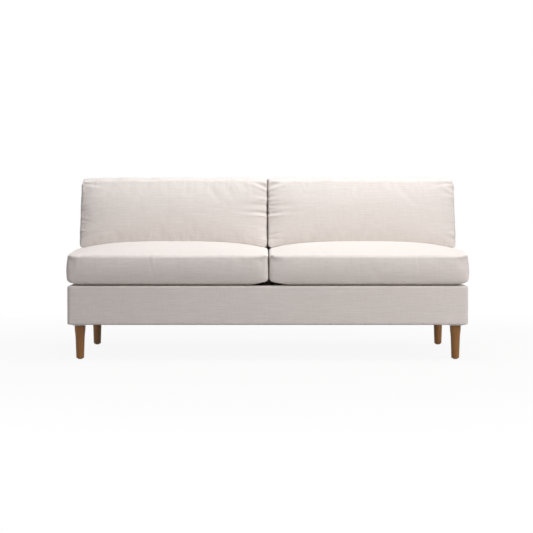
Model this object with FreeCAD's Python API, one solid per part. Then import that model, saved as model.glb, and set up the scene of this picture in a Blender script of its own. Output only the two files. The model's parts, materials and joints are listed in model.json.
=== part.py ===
import FreeCAD, Part
import math
import os

Vector = FreeCAD.Vector

# Armless two-seat sofa, in millimetres.
# The origin is on the floor under the middle. Seen from the front, +X is the right,
# -Y is the near side and +Z is up. Left and right are as seen from the front.

# Overall size
overall_width = 1816.0
overall_depth = 991.0
overall_height = 826.0

# Legs, turned from solid wood, with a nail-on glide under each
leg_height = 156.0
leg_side_inset = 53.0
front_leg_inset = 60.0
rear_leg_inset = 60.5
leg_top_diameter = 50.0
leg_neck_diameter = 42.0
leg_foot_diameter = 36.0
leg_collar_length = 8.0
leg_neck_drop = 60.0
leg_foot_rounding = 4.0
glide_diameter = 22.0
glide_flat_diameter = 13.0
glide_height = 4.0
glide_nail_diameter = 2.4
glide_nail_length = 16.0

# Leg plates, their screws and the hanger bolts in the legs
plate_width = 64.0
plate_thickness = 2.5
plate_bush_diameter = 12.0
plate_bush_height = 8.0
bush_pocket_clearance = 0.5
plate_screw_spacing = 48.0
plate_screw_diameter = 4.0
plate_screw_length = 20.0
plate_screw_head_diameter = 8.0
plate_screw_head_height = 1.8
bolt_diameter = 8.0
bolt_length_in_leg = 35.0
bolt_length_above_leg = 22.0
hole_clearance = 0.1

# Upholstery thicknesses
cover_thickness = 1.5
padding_thickness = 13.0
back_pad_thickness = 43.0
back_outside_pad_thickness = 6.0
deck_pad_thickness = 9.2
dust_cover_thickness = 0.7
dust_cover_margin = 16.0
cover_hem_width = 38.0

# Wood frame
base_side_setback = 2.5
base_front_setback = 2.0
rail_thickness = 28.0
rail_height = 158.0
centre_rail_height = 135.0
post_depth = 70.0
back_rake_degrees = 5.0
back_frame_height = 700.0
top_rail_height = 32.0
lower_rail_height = 70.0
lower_rail_thickness = 22.0
lower_rail_lift = 15.0
corner_block_leg = 90.0
corner_block_height = 50.0

# Frame screws
screw_diameter = 4.5
screw_head_diameter = 9.0
screw_head_height = 3.0
screw_length = 62.0
screw_edge_distance = 35.0
top_rail_screw_spacing = 36.0
lower_rail_screw_spacing = 40.0

# Seat springs, their clips and the tie wires under them
springs_per_seat = 5
spring_wire_diameter = 3.8
spring_width = 60.0
spring_bar_pitch = 25.0
clip_steel_thickness = 1.2
clip_width = 28.0
clip_reach = 8.0
wire_clearance = 0.2
tie_wire_diameter = 2.5
tie_wire_spacing = 320.0

# Elastic webbing of the back
webbing_width = 50.0
webbing_thickness = 1.5
webbing_rows = 3
webbing_row_pitch = 85.0
webbing_columns_per_side = 4

# Staples of the dust cover
staple_crown = 11.0
staple_wire = 0.6
staple_width = 1.3
staple_pitch = 92.0
staple_inset = 8.0

# Seat cushions
seat_edge_height = 473.0
seat_crown = 56.0
seat_side_fall = 0.6
seat_crown_power = 3.0
seat_crown_shift = 0.3
seat_rim_radius = 22.0
seat_lower_side_radius = 34.0
cushion_gap = 4.0
cushion_rear_gap = 8.0
cushion_rest_gap = 0.3
cushion_wrap_thickness = 22.0
layer_gap = 0.4

# Back cushions. What is left in front of them is the seat depth, 635 here.
back_cushion_depth = 189.4
back_cushion_recline_degrees = 8.0
back_cushion_bulge = 12.0
back_cushion_bulge_radius = 280.0
back_cushion_top_radius = 60.0
back_cushion_top_corner_radius = 30.0
back_cushion_side_slant = 6.0
back_rest_gap = 0.5

# Zips of the cushion covers
zip_length = 700.0
zip_tape_width = 30.0
zip_tape_thickness = 1.0
zip_chain_width = 6.0
zip_chain_height = 1.6
zip_stop_length = 6.0
seat_zip_height = 70.0
back_zip_height = 214.0
slider_clearance = 0.4
slider_wall = 1.8
slider_face = 2.0
slider_length = 12.0
slider_pull_width = 6.0
slider_pull_length = 24.0
slider_pull_thickness = 1.2

# Derived planes and heights
half_width = overall_width / 2
front_face = -overall_depth / 2
dust_cover_bottom = leg_height + plate_thickness
hem_bottom = dust_cover_bottom + dust_cover_thickness
rail_bottom = hem_bottom + cover_thickness
rail_top = rail_bottom + rail_height
spring_height = rail_top + clip_steel_thickness + wire_clearance + spring_wire_diameter / 2
clip_top = spring_height + spring_wire_diameter / 2 + wire_clearance + clip_steel_thickness
padding_top = clip_top + deck_pad_thickness
deck_top = padding_top + cover_thickness
rake = math.tan(math.radians(back_rake_degrees))

cover_outer_x = half_width - base_side_setback
cover_inner_x = cover_outer_x - cover_thickness
rail_outer_x = cover_inner_x - padding_thickness
rail_inner_x = rail_outer_x - rail_thickness

cover_front_y = front_face + base_front_setback
padding_front_y = cover_front_y + cover_thickness
rail_front_y = padding_front_y + padding_thickness
rail_back_y = rail_front_y + rail_thickness

back_top = back_frame_height + padding_thickness + cover_thickness
cover_rear_y = overall_depth / 2 - (back_top - deck_top) * rake
padding_rear_y = cover_rear_y - cover_thickness
post_rear_y = padding_rear_y - back_outside_pad_thickness
post_front_y = post_rear_y - post_depth
rear_rail_front_y = post_rear_y - rail_thickness
pad_rear_y = post_front_y - 2 * webbing_thickness
pad_front_y = pad_rear_y - back_pad_thickness
inside_back_y = pad_front_y - cover_thickness

leg_x = half_width - leg_side_inset
front_leg_y = front_face + front_leg_inset
rear_leg_y = cover_rear_y - rear_leg_inset
leg_places = [
    (side * leg_x, y)
    for side in (-1, 1)
    for y in (front_leg_y, rear_leg_y)
]


# Shape helpers
def box(x_low, x_high, y_low, y_high, z_low, z_high):
    size = (x_high - x_low, y_high - y_low, z_high - z_low)
    return Part.makeBox(*size, Vector(x_low, y_low, z_low))


def rod(diameter, start, direction, length):
    return Part.makeCylinder(diameter / 2, length, start, direction)


def mirrored(shape):
    return shape.mirror(Vector(0, 0, 0), Vector(1, 0, 0))


def placed(shape, side):
    # A shape drawn on the +X side, kept there or mirrored to the -X side.
    return shape if side > 0 else mirrored(shape)


def lean(y, z):
    # Above the deck everything on the back leans by the rake.
    return y + max(0.0, z - deck_top) * rake


def side_prism(x_low, x_high, points):
    # Extrudes a (y, z) outline along X.
    corners = [Vector(x_low, y, z) for y, z in points]
    face = Part.Face(Part.makePolygon(corners + corners[:1]))
    return face.extrude(Vector(x_high - x_low, 0, 0))


def back_prism(x_low, x_high, outline):
    # Extrudes an upright (y, z) outline along X after leaning it by the rake.
    return side_prism(x_low, x_high, [(lean(y, z), z) for y, z in outline])


def rectangle(y_low, y_high, z_low, z_high):
    return [(y_low, z_low), (y_high, z_low), (y_high, z_high), (y_low, z_high)]


def group(shapes):
    return Part.makeCompound(shapes)


# Fasteners
def wood_screw(head, direction, play=0.0):
    # Countersunk screw, flush at head. play makes the hole for it.
    cone = Part.makeCone(
        screw_head_diameter / 2 + play,
        screw_diameter / 2 + play,
        screw_head_height,
        head,
        direction,
    )
    shank = rod(screw_diameter + 2 * play, head, direction, screw_length + play)
    return cone.fuse(shank).removeSplitter()


def frame_screw_places():
    rail_middle_x = (rail_inner_x + rail_outer_x) / 2
    low = rail_bottom + screw_edge_distance
    high = rail_top - screw_edge_distance
    centre_high = rail_bottom + centre_rail_height - screw_edge_distance
    rear_y = post_rear_y - rail_thickness / 2
    top_z = back_frame_height - top_rail_height / 2
    top_y = lean(post_rear_y - post_depth / 2, top_z)
    lower_z = deck_top + lower_rail_lift + lower_rail_height / 2
    places = [(Vector(0, rail_front_y, z), Vector(0, 1, 0)) for z in (low, centre_high)]
    for side in (-1, 1):
        inward = Vector(-side, 0, 0)
        outside = side * rail_outer_x
        for z in (low, high):
            places.append((Vector(side * rail_middle_x, rail_front_y, z), Vector(0, 1, 0)))
            places.append((Vector(outside, rear_y, z), inward))
        for step in (-0.5, 0.5):
            y = top_y + step * top_rail_screw_spacing
            places.append((Vector(outside, y, top_z), inward))
            z = lower_z + step * lower_rail_screw_spacing
            y = lean(post_front_y + lower_rail_thickness / 2, z)
            places.append((Vector(outside, y, z), inward))
    return places


def plate_screw_places():
    half = plate_screw_spacing / 2
    return [
        (x + i * half, y + j * half)
        for x, y in leg_places
        for i in (-1, 1)
        for j in (-1, 1)
    ]


frame_screws = group([wood_screw(*place) for place in frame_screw_places()])
frame_screw_holes = group([wood_screw(*place, hole_clearance) for place in frame_screw_places()])


def plate_screw(x, y, play=0.0):
    head_height = plate_screw_head_height
    head_low = leg_height - head_height
    head = rod(plate_screw_head_diameter, Vector(x, y, head_low), Vector(0, 0, 1), head_height)
    length = plate_screw_length + plate_screw_head_height + play
    shank = rod(plate_screw_diameter + 2 * play, Vector(x, y, head_low), Vector(0, 0, 1), length)
    return head.fuse(shank).removeSplitter()


plate_screws = group([plate_screw(x, y) for x, y in plate_screw_places()])
plate_screw_holes = group([plate_screw(x, y, hole_clearance) for x, y in plate_screw_places()])


def hanger_bolt(x, y, play=0.0):
    low = leg_height - bolt_length_in_leg - play
    length = bolt_length_in_leg + bolt_length_above_leg + 2 * play
    return rod(bolt_diameter + 2 * play, Vector(x, y, low), Vector(0, 0, 1), length)


def bush_pocket(x, y):
    diameter = plate_bush_diameter + 2 * bush_pocket_clearance
    height = plate_thickness + plate_bush_height + bush_pocket_clearance
    return rod(diameter, Vector(x, y, leg_height), Vector(0, 0, 1), height)


def leg_plate(x, y):
    half = plate_width / 2
    plate = box(x - half, x + half, y - half, y + half, leg_height, dust_cover_bottom)
    bush_length = plate_thickness + plate_bush_height
    bush = rod(plate_bush_diameter, Vector(x, y, leg_height), Vector(0, 0, 1), bush_length)
    return plate.fuse(bush).cut(hanger_bolt(x, y, hole_clearance)).cut(plate_screw_holes)


leg_bolts = group([hanger_bolt(x, y) for x, y in leg_places])
leg_bolt_holes = group([hanger_bolt(x, y, hole_clearance) for x, y in leg_places])
bush_pockets = group([bush_pocket(x, y) for x, y in leg_places])


def drilled(shape):
    # Takes the holes of every fastener out of a frame or cover piece.
    for tool in (frame_screw_holes, plate_screw_holes, leg_bolt_holes, bush_pockets):
        shape = shape.cut(tool)
    return shape


# Legs and glides
def glide_outline():
    # Half section of a glide with a flat sole and a domed edge, and its nail, in the XZ plane.
    radius = glide_diameter / 2
    flat = glide_flat_diameter / 2
    nail = glide_nail_diameter / 2
    tip = glide_height + glide_nail_length
    dome_radius = ((radius - flat) ** 2 + glide_height ** 2) / (2 * glide_height)
    half_turn = math.asin((radius - flat) / dome_radius) / 2
    rise = dome_radius * (1 - math.cos(half_turn))
    dome = Part.Arc(
        Vector(flat, 0, 0),
        Vector(flat + dome_radius * math.sin(half_turn), 0, rise),
        Vector(radius, 0, glide_height),
    ).toShape()
    path = [
        (radius, glide_height),
        (nail, glide_height),
        (nail, tip),
        (0, tip),
        (0, 0),
        (flat, 0),
    ]
    corners = [Vector(x, 0, z) for x, z in path]
    return [dome] + [Part.makeLine(a, b) for a, b in zip(corners, corners[1:])]


def leg_outline():
    # Half section of the leg: a straight collar, a soft S, a straight taper and a round foot.
    top = leg_height
    collar = top - leg_collar_length
    neck = top - leg_neck_drop
    foot = glide_height + leg_foot_rounding
    top_r = leg_top_diameter / 2
    neck_r = leg_neck_diameter / 2
    foot_r = leg_foot_diameter / 2
    bend = (collar - neck) / 3
    taper = (neck_r - foot_r) / (neck - foot)
    curve = Part.BezierCurve()
    curve.setPoles([
        Vector(top_r, 0, collar),
        Vector(top_r, 0, collar - bend),
        Vector(neck_r + taper * bend, 0, neck + bend),
        Vector(neck_r, 0, neck),
    ])
    corner = leg_foot_rounding * (1 - math.cos(math.pi / 4))
    toe = Part.Arc(
        Vector(foot_r, 0, foot),
        Vector(foot_r - corner, 0, glide_height + corner),
        Vector(foot_r - leg_foot_rounding, 0, glide_height),
    ).toShape()
    return [
        Part.makeLine(Vector(0, 0, top), Vector(top_r, 0, top)),
        Part.makeLine(Vector(top_r, 0, top), Vector(top_r, 0, collar)),
        curve.toShape(),
        Part.makeLine(Vector(neck_r, 0, neck), Vector(foot_r, 0, foot)),
        toe,
        Part.makeLine(Vector(foot_r - leg_foot_rounding, 0, glide_height), Vector(0, 0, glide_height)),
        Part.makeLine(Vector(0, 0, glide_height), Vector(0, 0, top)),
    ]


def turned(edges):
    face = Part.Face(Part.Wire(Part.__sortEdges__(edges)))
    return face.revolve(Vector(0, 0, 0), Vector(0, 0, 1), 360)


turned_leg = turned(leg_outline())
glide = turned(glide_outline())
nail_hole = rod(
    glide_nail_diameter + 2 * hole_clearance,
    Vector(0, 0, glide_height),
    Vector(0, 0, 1),
    glide_nail_length + hole_clearance,
)
drilled_leg = turned_leg.cut(nail_hole).cut(hanger_bolt(0, 0, hole_clearance))

leg_names = ["front_left_leg", "rear_left_leg", "front_right_leg", "rear_right_leg"]
parts = {}
for name, (x, y) in zip(leg_names, leg_places):
    parts[name] = drilled_leg.translated(Vector(x, y, 0))
parts["leg_glides"] = group([glide.translated(Vector(x, y, 0)) for x, y in leg_places])
parts["leg_plates"] = group([leg_plate(x, y) for x, y in leg_places])
parts["leg_plate_screws"] = plate_screws
parts["leg_hanger_bolts"] = leg_bolts


# Wood frame
def back_post():
    outline = [
        (post_front_y, rail_bottom),
        (post_rear_y, rail_bottom),
        (post_rear_y, deck_top),
        (post_rear_y, back_frame_height),
        (post_front_y, back_frame_height),
        (post_front_y, deck_top),
    ]
    return back_prism(rail_inner_x, rail_outer_x, outline)


def centre_post():
    # Notched over the rear rail, and stopped under the top rail.
    top = back_frame_height - top_rail_height
    outline = [
        (post_front_y, rail_bottom),
        (rear_rail_front_y, rail_bottom),
        (rear_rail_front_y, rail_top),
        (post_rear_y, rail_top),
        (post_rear_y, deck_top),
        (post_rear_y, top),
        (post_front_y, top),
        (post_front_y, deck_top),
    ]
    return back_prism(-rail_thickness / 2, rail_thickness / 2, outline)


def corner_block(corner_x, corner_y, x_way, y_way):
    corners = [
        Vector(corner_x, corner_y, rail_bottom),
        Vector(corner_x + x_way * corner_block_leg, corner_y, rail_bottom),
        Vector(corner_x, corner_y + y_way * corner_block_leg, rail_bottom),
    ]
    face = Part.Face(Part.makePolygon(corners + corners[:1]))
    return face.extrude(Vector(0, 0, corner_block_height))


side_rail = box(rail_inner_x, rail_outer_x, rail_back_y, post_front_y, rail_bottom, rail_top)
lower_back_rail = back_prism(
    rail_thickness / 2,
    rail_inner_x,
    rectangle(
        post_front_y,
        post_front_y + lower_rail_thickness,
        deck_top + lower_rail_lift,
        deck_top + lower_rail_lift + lower_rail_height,
    ),
)
corner_blocks = [
    drilled(corner_block(side * rail_inner_x, y, -side, y_way))
    for side in (-1, 1)
    for y, y_way in ((rail_back_y, 1), (rear_rail_front_y, -1))
]

parts["front_seat_rail"] = drilled(
    box(-rail_outer_x, rail_outer_x, rail_front_y, rail_back_y, rail_bottom, rail_top)
)
parts["rear_seat_rail"] = drilled(
    box(-rail_inner_x, rail_inner_x, rear_rail_front_y, post_rear_y, rail_bottom, rail_top)
)
parts["left_seat_rail"] = drilled(placed(side_rail, -1))
parts["right_seat_rail"] = drilled(side_rail)
parts["centre_seat_rail"] = drilled(
    box(
        -rail_thickness / 2,
        rail_thickness / 2,
        rail_back_y,
        post_front_y,
        rail_bottom,
        rail_bottom + centre_rail_height,
    )
)
parts["corner_blocks"] = group(corner_blocks)
parts["left_back_post"] = drilled(placed(back_post(), -1))
parts["right_back_post"] = drilled(back_post())
parts["centre_back_post"] = centre_post()
parts["top_back_rail"] = drilled(
    back_prism(
        -rail_inner_x,
        rail_inner_x,
        rectangle(
            post_front_y,
            post_rear_y,
            back_frame_height - top_rail_height,
            back_frame_height,
        ),
    )
)
parts["lower_back_rails"] = group([drilled(placed(lower_back_rail, side)) for side in (-1, 1)])
parts["frame_screws"] = frame_screws


# Seat springs
front_bar_y = (rail_front_y + rail_back_y) / 2
rear_bar_y = post_rear_y - rail_thickness / 2
spring_bars = 1 + round((rear_bar_y - front_bar_y) / spring_bar_pitch)
bar_pitch = (rear_bar_y - front_bar_y) / (spring_bars - 1)


def sinuous_path():
    # Straight bars along X joined by half circles, from the front bar to the rear one.
    reach = spring_width / 2 - bar_pitch / 2
    edges = []
    for index in range(spring_bars):
        y = front_bar_y + index * bar_pitch
        way = 1 if index % 2 == 0 else -1
        start = Vector(-way * reach, y, spring_height)
        end = Vector(way * reach, y, spring_height)
        edges.append(Part.makeLine(start, end))
        if index < spring_bars - 1:
            middle = Vector(way * spring_width / 2, y + bar_pitch / 2, spring_height)
            turn_end = Vector(way * reach, y + bar_pitch, spring_height)
            edges.append(Part.Arc(end, middle, turn_end).toShape())
    return Part.Wire(edges)


def seat_spring():
    path = sinuous_path()
    start = path.OrderedVertexes[0].Point
    circle = Part.Wire(Part.makeCircle(spring_wire_diameter / 2, start, Vector(1, 0, 0)))
    return path.makePipeShell([circle], True, False)


def spring_clip(bar_y, way):
    # Folded strip open towards the spring: floor, back wall and roof around the end bar.
    radius = spring_wire_diameter / 2 + wire_clearance
    wall = clip_steel_thickness
    outline = [
        (clip_reach, spring_height - radius - wall),
        (-radius - wall, spring_height - radius - wall),
        (-radius - wall, clip_top),
        (clip_reach, clip_top),
        (clip_reach, spring_height + radius),
        (-radius, spring_height + radius),
        (-radius, spring_height - radius),
        (clip_reach, spring_height - radius),
    ]
    points = [(bar_y + way * y, z) for y, z in outline]
    return side_prism(-clip_width / 2, clip_width / 2, points)


spring_pitch = (rail_inner_x - rail_thickness / 2) / springs_per_seat
spring_places = [
    side * (rail_thickness / 2 + (index + 0.5) * spring_pitch)
    for side in (-1, 1)
    for index in range(springs_per_seat)
]
one_spring = seat_spring()
front_clip = spring_clip(front_bar_y, 1)
rear_clip = spring_clip(rear_bar_y, -1)
tie_wire_z = spring_height - (spring_wire_diameter + tie_wire_diameter) / 2 - wire_clearance
middle_y = (front_bar_y + rear_bar_y) / 2

parts["seat_springs"] = group([one_spring.translated(Vector(x, 0, 0)) for x in spring_places])
parts["spring_clips"] = group([
    clip.translated(Vector(x, 0, 0))
    for x in spring_places
    for clip in (front_clip, rear_clip)
])
parts["spring_tie_wires"] = group([
    rod(
        tie_wire_diameter,
        Vector(-rail_inner_x, middle_y + way * tie_wire_spacing / 2, tie_wire_z),
        Vector(1, 0, 0),
        2 * rail_inner_x,
    )
    for way in (-1, 1)
])


# Back webbing
row_middle = (deck_top + lower_rail_lift + lower_rail_height + back_frame_height - top_rail_height) / 2
column_pitch = (rail_inner_x - rail_thickness / 2) / webbing_columns_per_side


def webbing_row(index):
    z = row_middle + (index - (webbing_rows - 1) / 2) * webbing_row_pitch
    half = webbing_width / 2
    outline = rectangle(post_front_y - webbing_thickness, post_front_y, z - half, z + half)
    return back_prism(-rail_outer_x, rail_outer_x, outline)


def webbing_column(x):
    outline = rectangle(
        pad_rear_y,
        pad_rear_y + webbing_thickness,
        deck_top + lower_rail_lift,
        back_frame_height,
    )
    return back_prism(x - webbing_width / 2, x + webbing_width / 2, outline)


parts["back_webbing_rows"] = group([webbing_row(index) for index in range(webbing_rows)])
parts["back_webbing_columns"] = group([
    webbing_column(side * (rail_thickness / 2 + (index + 0.5) * column_pitch))
    for side in (-1, 1)
    for index in range(webbing_columns_per_side)
])


# Seat deck
parts["seat_deck_pad"] = box(
    -rail_outer_x, rail_outer_x, rail_front_y, post_front_y, clip_top, padding_top
)
parts["seat_deck_cloth"] = box(
    -cover_inner_x, cover_inner_x, padding_front_y, post_front_y, padding_top, deck_top
)


# Base padding and covers. Each cover turns under the rail as a stapled hem.
front_hem = box(
    -cover_outer_x,
    cover_outer_x,
    cover_front_y,
    cover_front_y + cover_hem_width,
    hem_bottom,
    rail_bottom,
)
rear_hem = box(
    -cover_outer_x,
    cover_outer_x,
    cover_rear_y - cover_hem_width,
    cover_rear_y,
    hem_bottom,
    rail_bottom,
)
front_panel = box(
    -cover_outer_x, cover_outer_x, cover_front_y, padding_front_y, hem_bottom, deck_top
)
side_panel = box(
    cover_inner_x, cover_outer_x, padding_front_y, padding_rear_y, hem_bottom, deck_top
)
side_hem = box(
    cover_outer_x - cover_hem_width,
    cover_outer_x,
    padding_front_y,
    padding_rear_y,
    hem_bottom,
    rail_bottom,
)
side_cover = side_panel.fuse(side_hem).cut(front_hem).cut(rear_hem).removeSplitter()
side_padding = box(
    rail_outer_x, cover_inner_x, rail_front_y, post_rear_y, rail_bottom, padding_top
)

parts["front_base_padding"] = box(
    -cover_inner_x, cover_inner_x, padding_front_y, rail_front_y, rail_bottom, padding_top
)
parts["left_base_padding"] = placed(side_padding, -1)
parts["right_base_padding"] = side_padding
parts["front_base_cover"] = drilled(front_panel.fuse(front_hem).removeSplitter())
parts["left_base_cover"] = drilled(placed(side_cover, -1))
parts["right_base_cover"] = drilled(side_cover)


# Back upholstery
pad_top = back_frame_height + padding_thickness
inside_pad_outline = [
    (pad_front_y, deck_top),
    (pad_rear_y, deck_top),
    (pad_rear_y, back_frame_height),
    (post_rear_y, back_frame_height),
    (post_rear_y, pad_top),
    (pad_front_y, pad_top),
]
inside_cover_outline = [
    (inside_back_y, deck_top),
    (pad_front_y, deck_top),
    (pad_front_y, pad_top),
    (padding_rear_y, pad_top),
    (padding_rear_y, back_top),
    (inside_back_y, back_top),
]


def rear_sheet(x_reach, y_low, y_high, z_low, z_high):
    # A sheet over the whole rear side, upright at the base and leaning above the deck.
    outline = [
        (y_low, z_low),
        (y_high, z_low),
        (y_high, deck_top),
        (y_high, z_high),
        (y_low, z_high),
        (y_low, deck_top),
    ]
    return back_prism(-x_reach, x_reach, outline)


side_pad = back_prism(
    rail_outer_x, cover_inner_x, rectangle(pad_front_y, post_rear_y, deck_top, pad_top)
)
side_back_cover = back_prism(
    cover_inner_x, cover_outer_x, rectangle(inside_back_y, padding_rear_y, deck_top, back_top)
)
rear_cover = rear_sheet(cover_outer_x, padding_rear_y, cover_rear_y, hem_bottom, back_top)

parts["inside_back_pad"] = back_prism(-rail_outer_x, rail_outer_x, inside_pad_outline)
parts["inside_back_cover"] = back_prism(-cover_inner_x, cover_inner_x, inside_cover_outline)
parts["back_side_pads"] = group([placed(side_pad, side) for side in (-1, 1)])
parts["back_side_covers"] = group([placed(side_back_cover, side) for side in (-1, 1)])
parts["outside_back_pad"] = rear_sheet(
    cover_inner_x, post_rear_y, padding_rear_y, rail_bottom, pad_top
)
parts["outside_back_cover"] = drilled(rear_cover.fuse(rear_hem).removeSplitter())


# Dust cover under the base, and the crowns of its staples
dust_x = cover_outer_x - dust_cover_margin
dust_front_y = cover_front_y + dust_cover_margin
dust_rear_y = cover_rear_y - dust_cover_margin
parts["dust_cover"] = drilled(
    box(-dust_x, dust_x, dust_front_y, dust_rear_y, dust_cover_bottom, hem_bottom)
)


def even_places(low, high, pitch):
    count = max(1, round((high - low) / pitch))
    return [low + (index + 0.5) * (high - low) / count for index in range(count)]


def staple(x, y, along_x):
    half_x = staple_crown / 2 if along_x else staple_width / 2
    half_y = staple_width / 2 if along_x else staple_crown / 2
    low = dust_cover_bottom - staple_wire
    return box(x - half_x, x + half_x, y - half_y, y + half_y, low, dust_cover_bottom)


def clear_of_plates(x, y):
    reach = (plate_width + staple_crown) / 2
    return all(abs(x - leg[0]) > reach or abs(y - leg[1]) > reach for leg in leg_places)


staple_x = dust_x - staple_inset
staple_front_y = dust_front_y + staple_inset
staple_rear_y = dust_rear_y - staple_inset
staple_places = [
    (x, y, True)
    for x in even_places(-staple_x, staple_x, staple_pitch)
    for y in (staple_front_y, staple_rear_y)
]
staple_places += [
    (side * staple_x, y, False)
    for y in even_places(staple_front_y, staple_rear_y, staple_pitch)
    for side in (-1, 1)
]
parts["dust_cover_staples"] = group([
    staple(*place) for place in staple_places if clear_of_plates(place[0], place[1])
])


# Cushions. Every layer is the same form, inset on all sides.
seat_bottom = deck_top + cushion_rest_gap
seat_rear_y = inside_back_y - cushion_rear_gap
cushion_near_x = cushion_gap / 2
cushion_middle_x = (half_width + cushion_near_x) / 2
cushion_half_width = (half_width - cushion_near_x) / 2
seat_middle_y = (front_face + seat_rear_y) / 2
seat_half_depth = (seat_rear_y - front_face) / 2
crown_samples = 13
crown_overhang = 1.15
cushion_core_inset = cover_thickness + cushion_wrap_thickness + 2 * layer_gap


def crown_height(u, v):
    # u and v run from -1 to 1 across the cushion. The side seams rise with the crown a little,
    # and the crest lies behind the middle.
    shifted = (v - seat_crown_shift) / (1 - seat_crown_shift * v)
    across = 1 - seat_side_fall * abs(u) ** seat_crown_power
    along = 1 - abs(shifted) ** seat_crown_power
    return seat_edge_height + seat_crown * across * along


def under_crown(rise):
    # Everything under the crowned top of the right seat cushion, raised by rise.
    steps = [crown_overhang * (2 * i / (crown_samples - 1) - 1) for i in range(crown_samples)]
    rows = [
        [
            Vector(
                cushion_middle_x + u * cushion_half_width,
                seat_middle_y + v * seat_half_depth,
                crown_height(u, v) + rise,
            )
            for v in steps
        ]
        for u in steps
    ]
    surface = Part.BSplineSurface()
    surface.interpolate(rows)
    return surface.toShape().extrude(Vector(0, 0, -overall_height))


def rounded_outline(corners, radii):
    # A closed wire of straight runs and tangent arcs. corners are Vectors in one plane.
    edges = []
    starts = []
    ends = []
    count = len(corners)
    for index in range(count):
        here = corners[index]
        back = (corners[index - 1] - here).normalize()
        ahead = (corners[(index + 1) % count] - here).normalize()
        half_angle = back.getAngle(ahead) / 2
        reach = radii[index] / math.tan(half_angle)
        starts.append(here + back * reach)
        ends.append(here + ahead * reach)
        if radii[index] > 0:
            bisector = (back + ahead).normalize()
            depth = radii[index] / math.sin(half_angle) - radii[index]
            edges.append(Part.Arc(starts[-1], here + bisector * depth, ends[-1]).toShape())
    for index in range(count):
        edges.append(Part.makeLine(ends[index], starts[(index + 1) % count]))
    return Part.Wire(Part.__sortEdges__(edges))


def inset_face(wire, inset):
    face = Part.Face(wire)
    return face.makeOffset2D(-inset) if inset > 0 else face


def seat_cushion_form(inset):
    # Rounded below, with one soft rim round the front and the rear, and crowned on top.
    outline = rounded_outline(
        [
            Vector(cushion_near_x, front_face + inset, seat_bottom),
            Vector(half_width, front_face + inset, seat_bottom),
            Vector(half_width, front_face + inset, overall_height),
            Vector(cushion_near_x, front_face + inset, overall_height),
        ],
        [seat_lower_side_radius, seat_lower_side_radius, 0, 0],
    )
    depth = seat_rear_y - front_face - 2 * inset
    block = inset_face(outline, inset).extrude(Vector(0, depth, 0))
    rim = [
        edge
        for edge in block.Edges
        if edge.BoundBox.YLength < edge.Length / 2 and edge.BoundBox.ZMin < seat_edge_height
    ]
    form = block.makeFillet(max(seat_rim_radius - inset, layer_gap), rim)
    return form.common(under_crown(-inset))


def back_cushion_side_outline():
    # Seen from the side: a reclined, bulging front, a round top and a raked rear.
    recline = math.tan(math.radians(back_cushion_recline_degrees))
    front_low = seat_rear_y - back_cushion_depth
    seat_line = seat_edge_height
    top = overall_height
    bulge_z = (seat_line + top) / 2
    bulge_y = front_low + (bulge_z - seat_line) * recline - back_cushion_bulge
    corners = [
        Vector(0, front_low, seat_line),
        Vector(0, lean(seat_rear_y, seat_line), seat_line),
        Vector(0, lean(seat_rear_y, top), top),
        Vector(0, front_low + (top - seat_line) * recline, top),
        Vector(0, bulge_y, bulge_z),
    ]
    top_radius = back_cushion_top_radius
    return rounded_outline(corners, [0, 0, top_radius, top_radius, back_cushion_bulge_radius])


def back_cushion_front_outline():
    corners = [
        Vector(cushion_near_x, front_face, seat_edge_height),
        Vector(cushion_near_x, front_face, overall_height),
        Vector(half_width - back_cushion_side_slant, front_face, overall_height),
        Vector(half_width, front_face, seat_edge_height),
    ]
    corner = back_cushion_top_corner_radius
    return rounded_outline(corners, [0, corner, corner, 0])


def back_cushion_form(inset):
    side_face = inset_face(back_cushion_side_outline(), inset)
    front_face_outline = inset_face(back_cushion_front_outline(), inset)
    across = side_face.extrude(Vector(half_width, 0, 0))
    along = front_face_outline.extrude(Vector(0, overall_depth, 0))
    return across.common(along).cut(under_crown(back_rest_gap + inset))


def shell_and_filling(form):
    filling_inset = cover_thickness + layer_gap
    cover = form(0).cut(form(cover_thickness))
    return cover, form(filling_inset)


# Zips on the rear face of each cushion. A zip outline is given as (out, up): out of the
# cushion's rear face and up from the zip's line.
def zip_prism(x_low, x_high, line_z, outline, rake_above):
    points = []
    for out, up in outline:
        z = line_z + up
        y = seat_rear_y + out
        points.append((lean(y, z) if rake_above else y, z))
    return side_prism(x_low, x_high, points)


def zip_strip(line_z, rake_above):
    low_x = cushion_middle_x - zip_length / 2
    high_x = cushion_middle_x + zip_length / 2
    tape = zip_tape_width / 2
    chain = zip_chain_width / 2
    crest = zip_tape_thickness + zip_chain_height
    outline = [
        (0, -tape),
        (zip_tape_thickness, -tape),
        (zip_tape_thickness, -chain),
        (crest, -chain),
        (crest, chain),
        (zip_tape_thickness, chain),
        (zip_tape_thickness, tape),
        (0, tape),
    ]
    strip = zip_prism(low_x, high_x, line_z, outline, rake_above)
    stop_crest = crest + slider_clearance + slider_face / 2
    stop_outline = [
        (zip_tape_thickness, -chain),
        (stop_crest, -chain),
        (stop_crest, chain),
        (zip_tape_thickness, chain),
    ]
    for x in (low_x, high_x - zip_stop_length):
        stop = zip_prism(x, x + zip_stop_length, line_z, stop_outline, rake_above)
        strip = strip.fuse(stop)
    return strip.removeSplitter()


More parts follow.
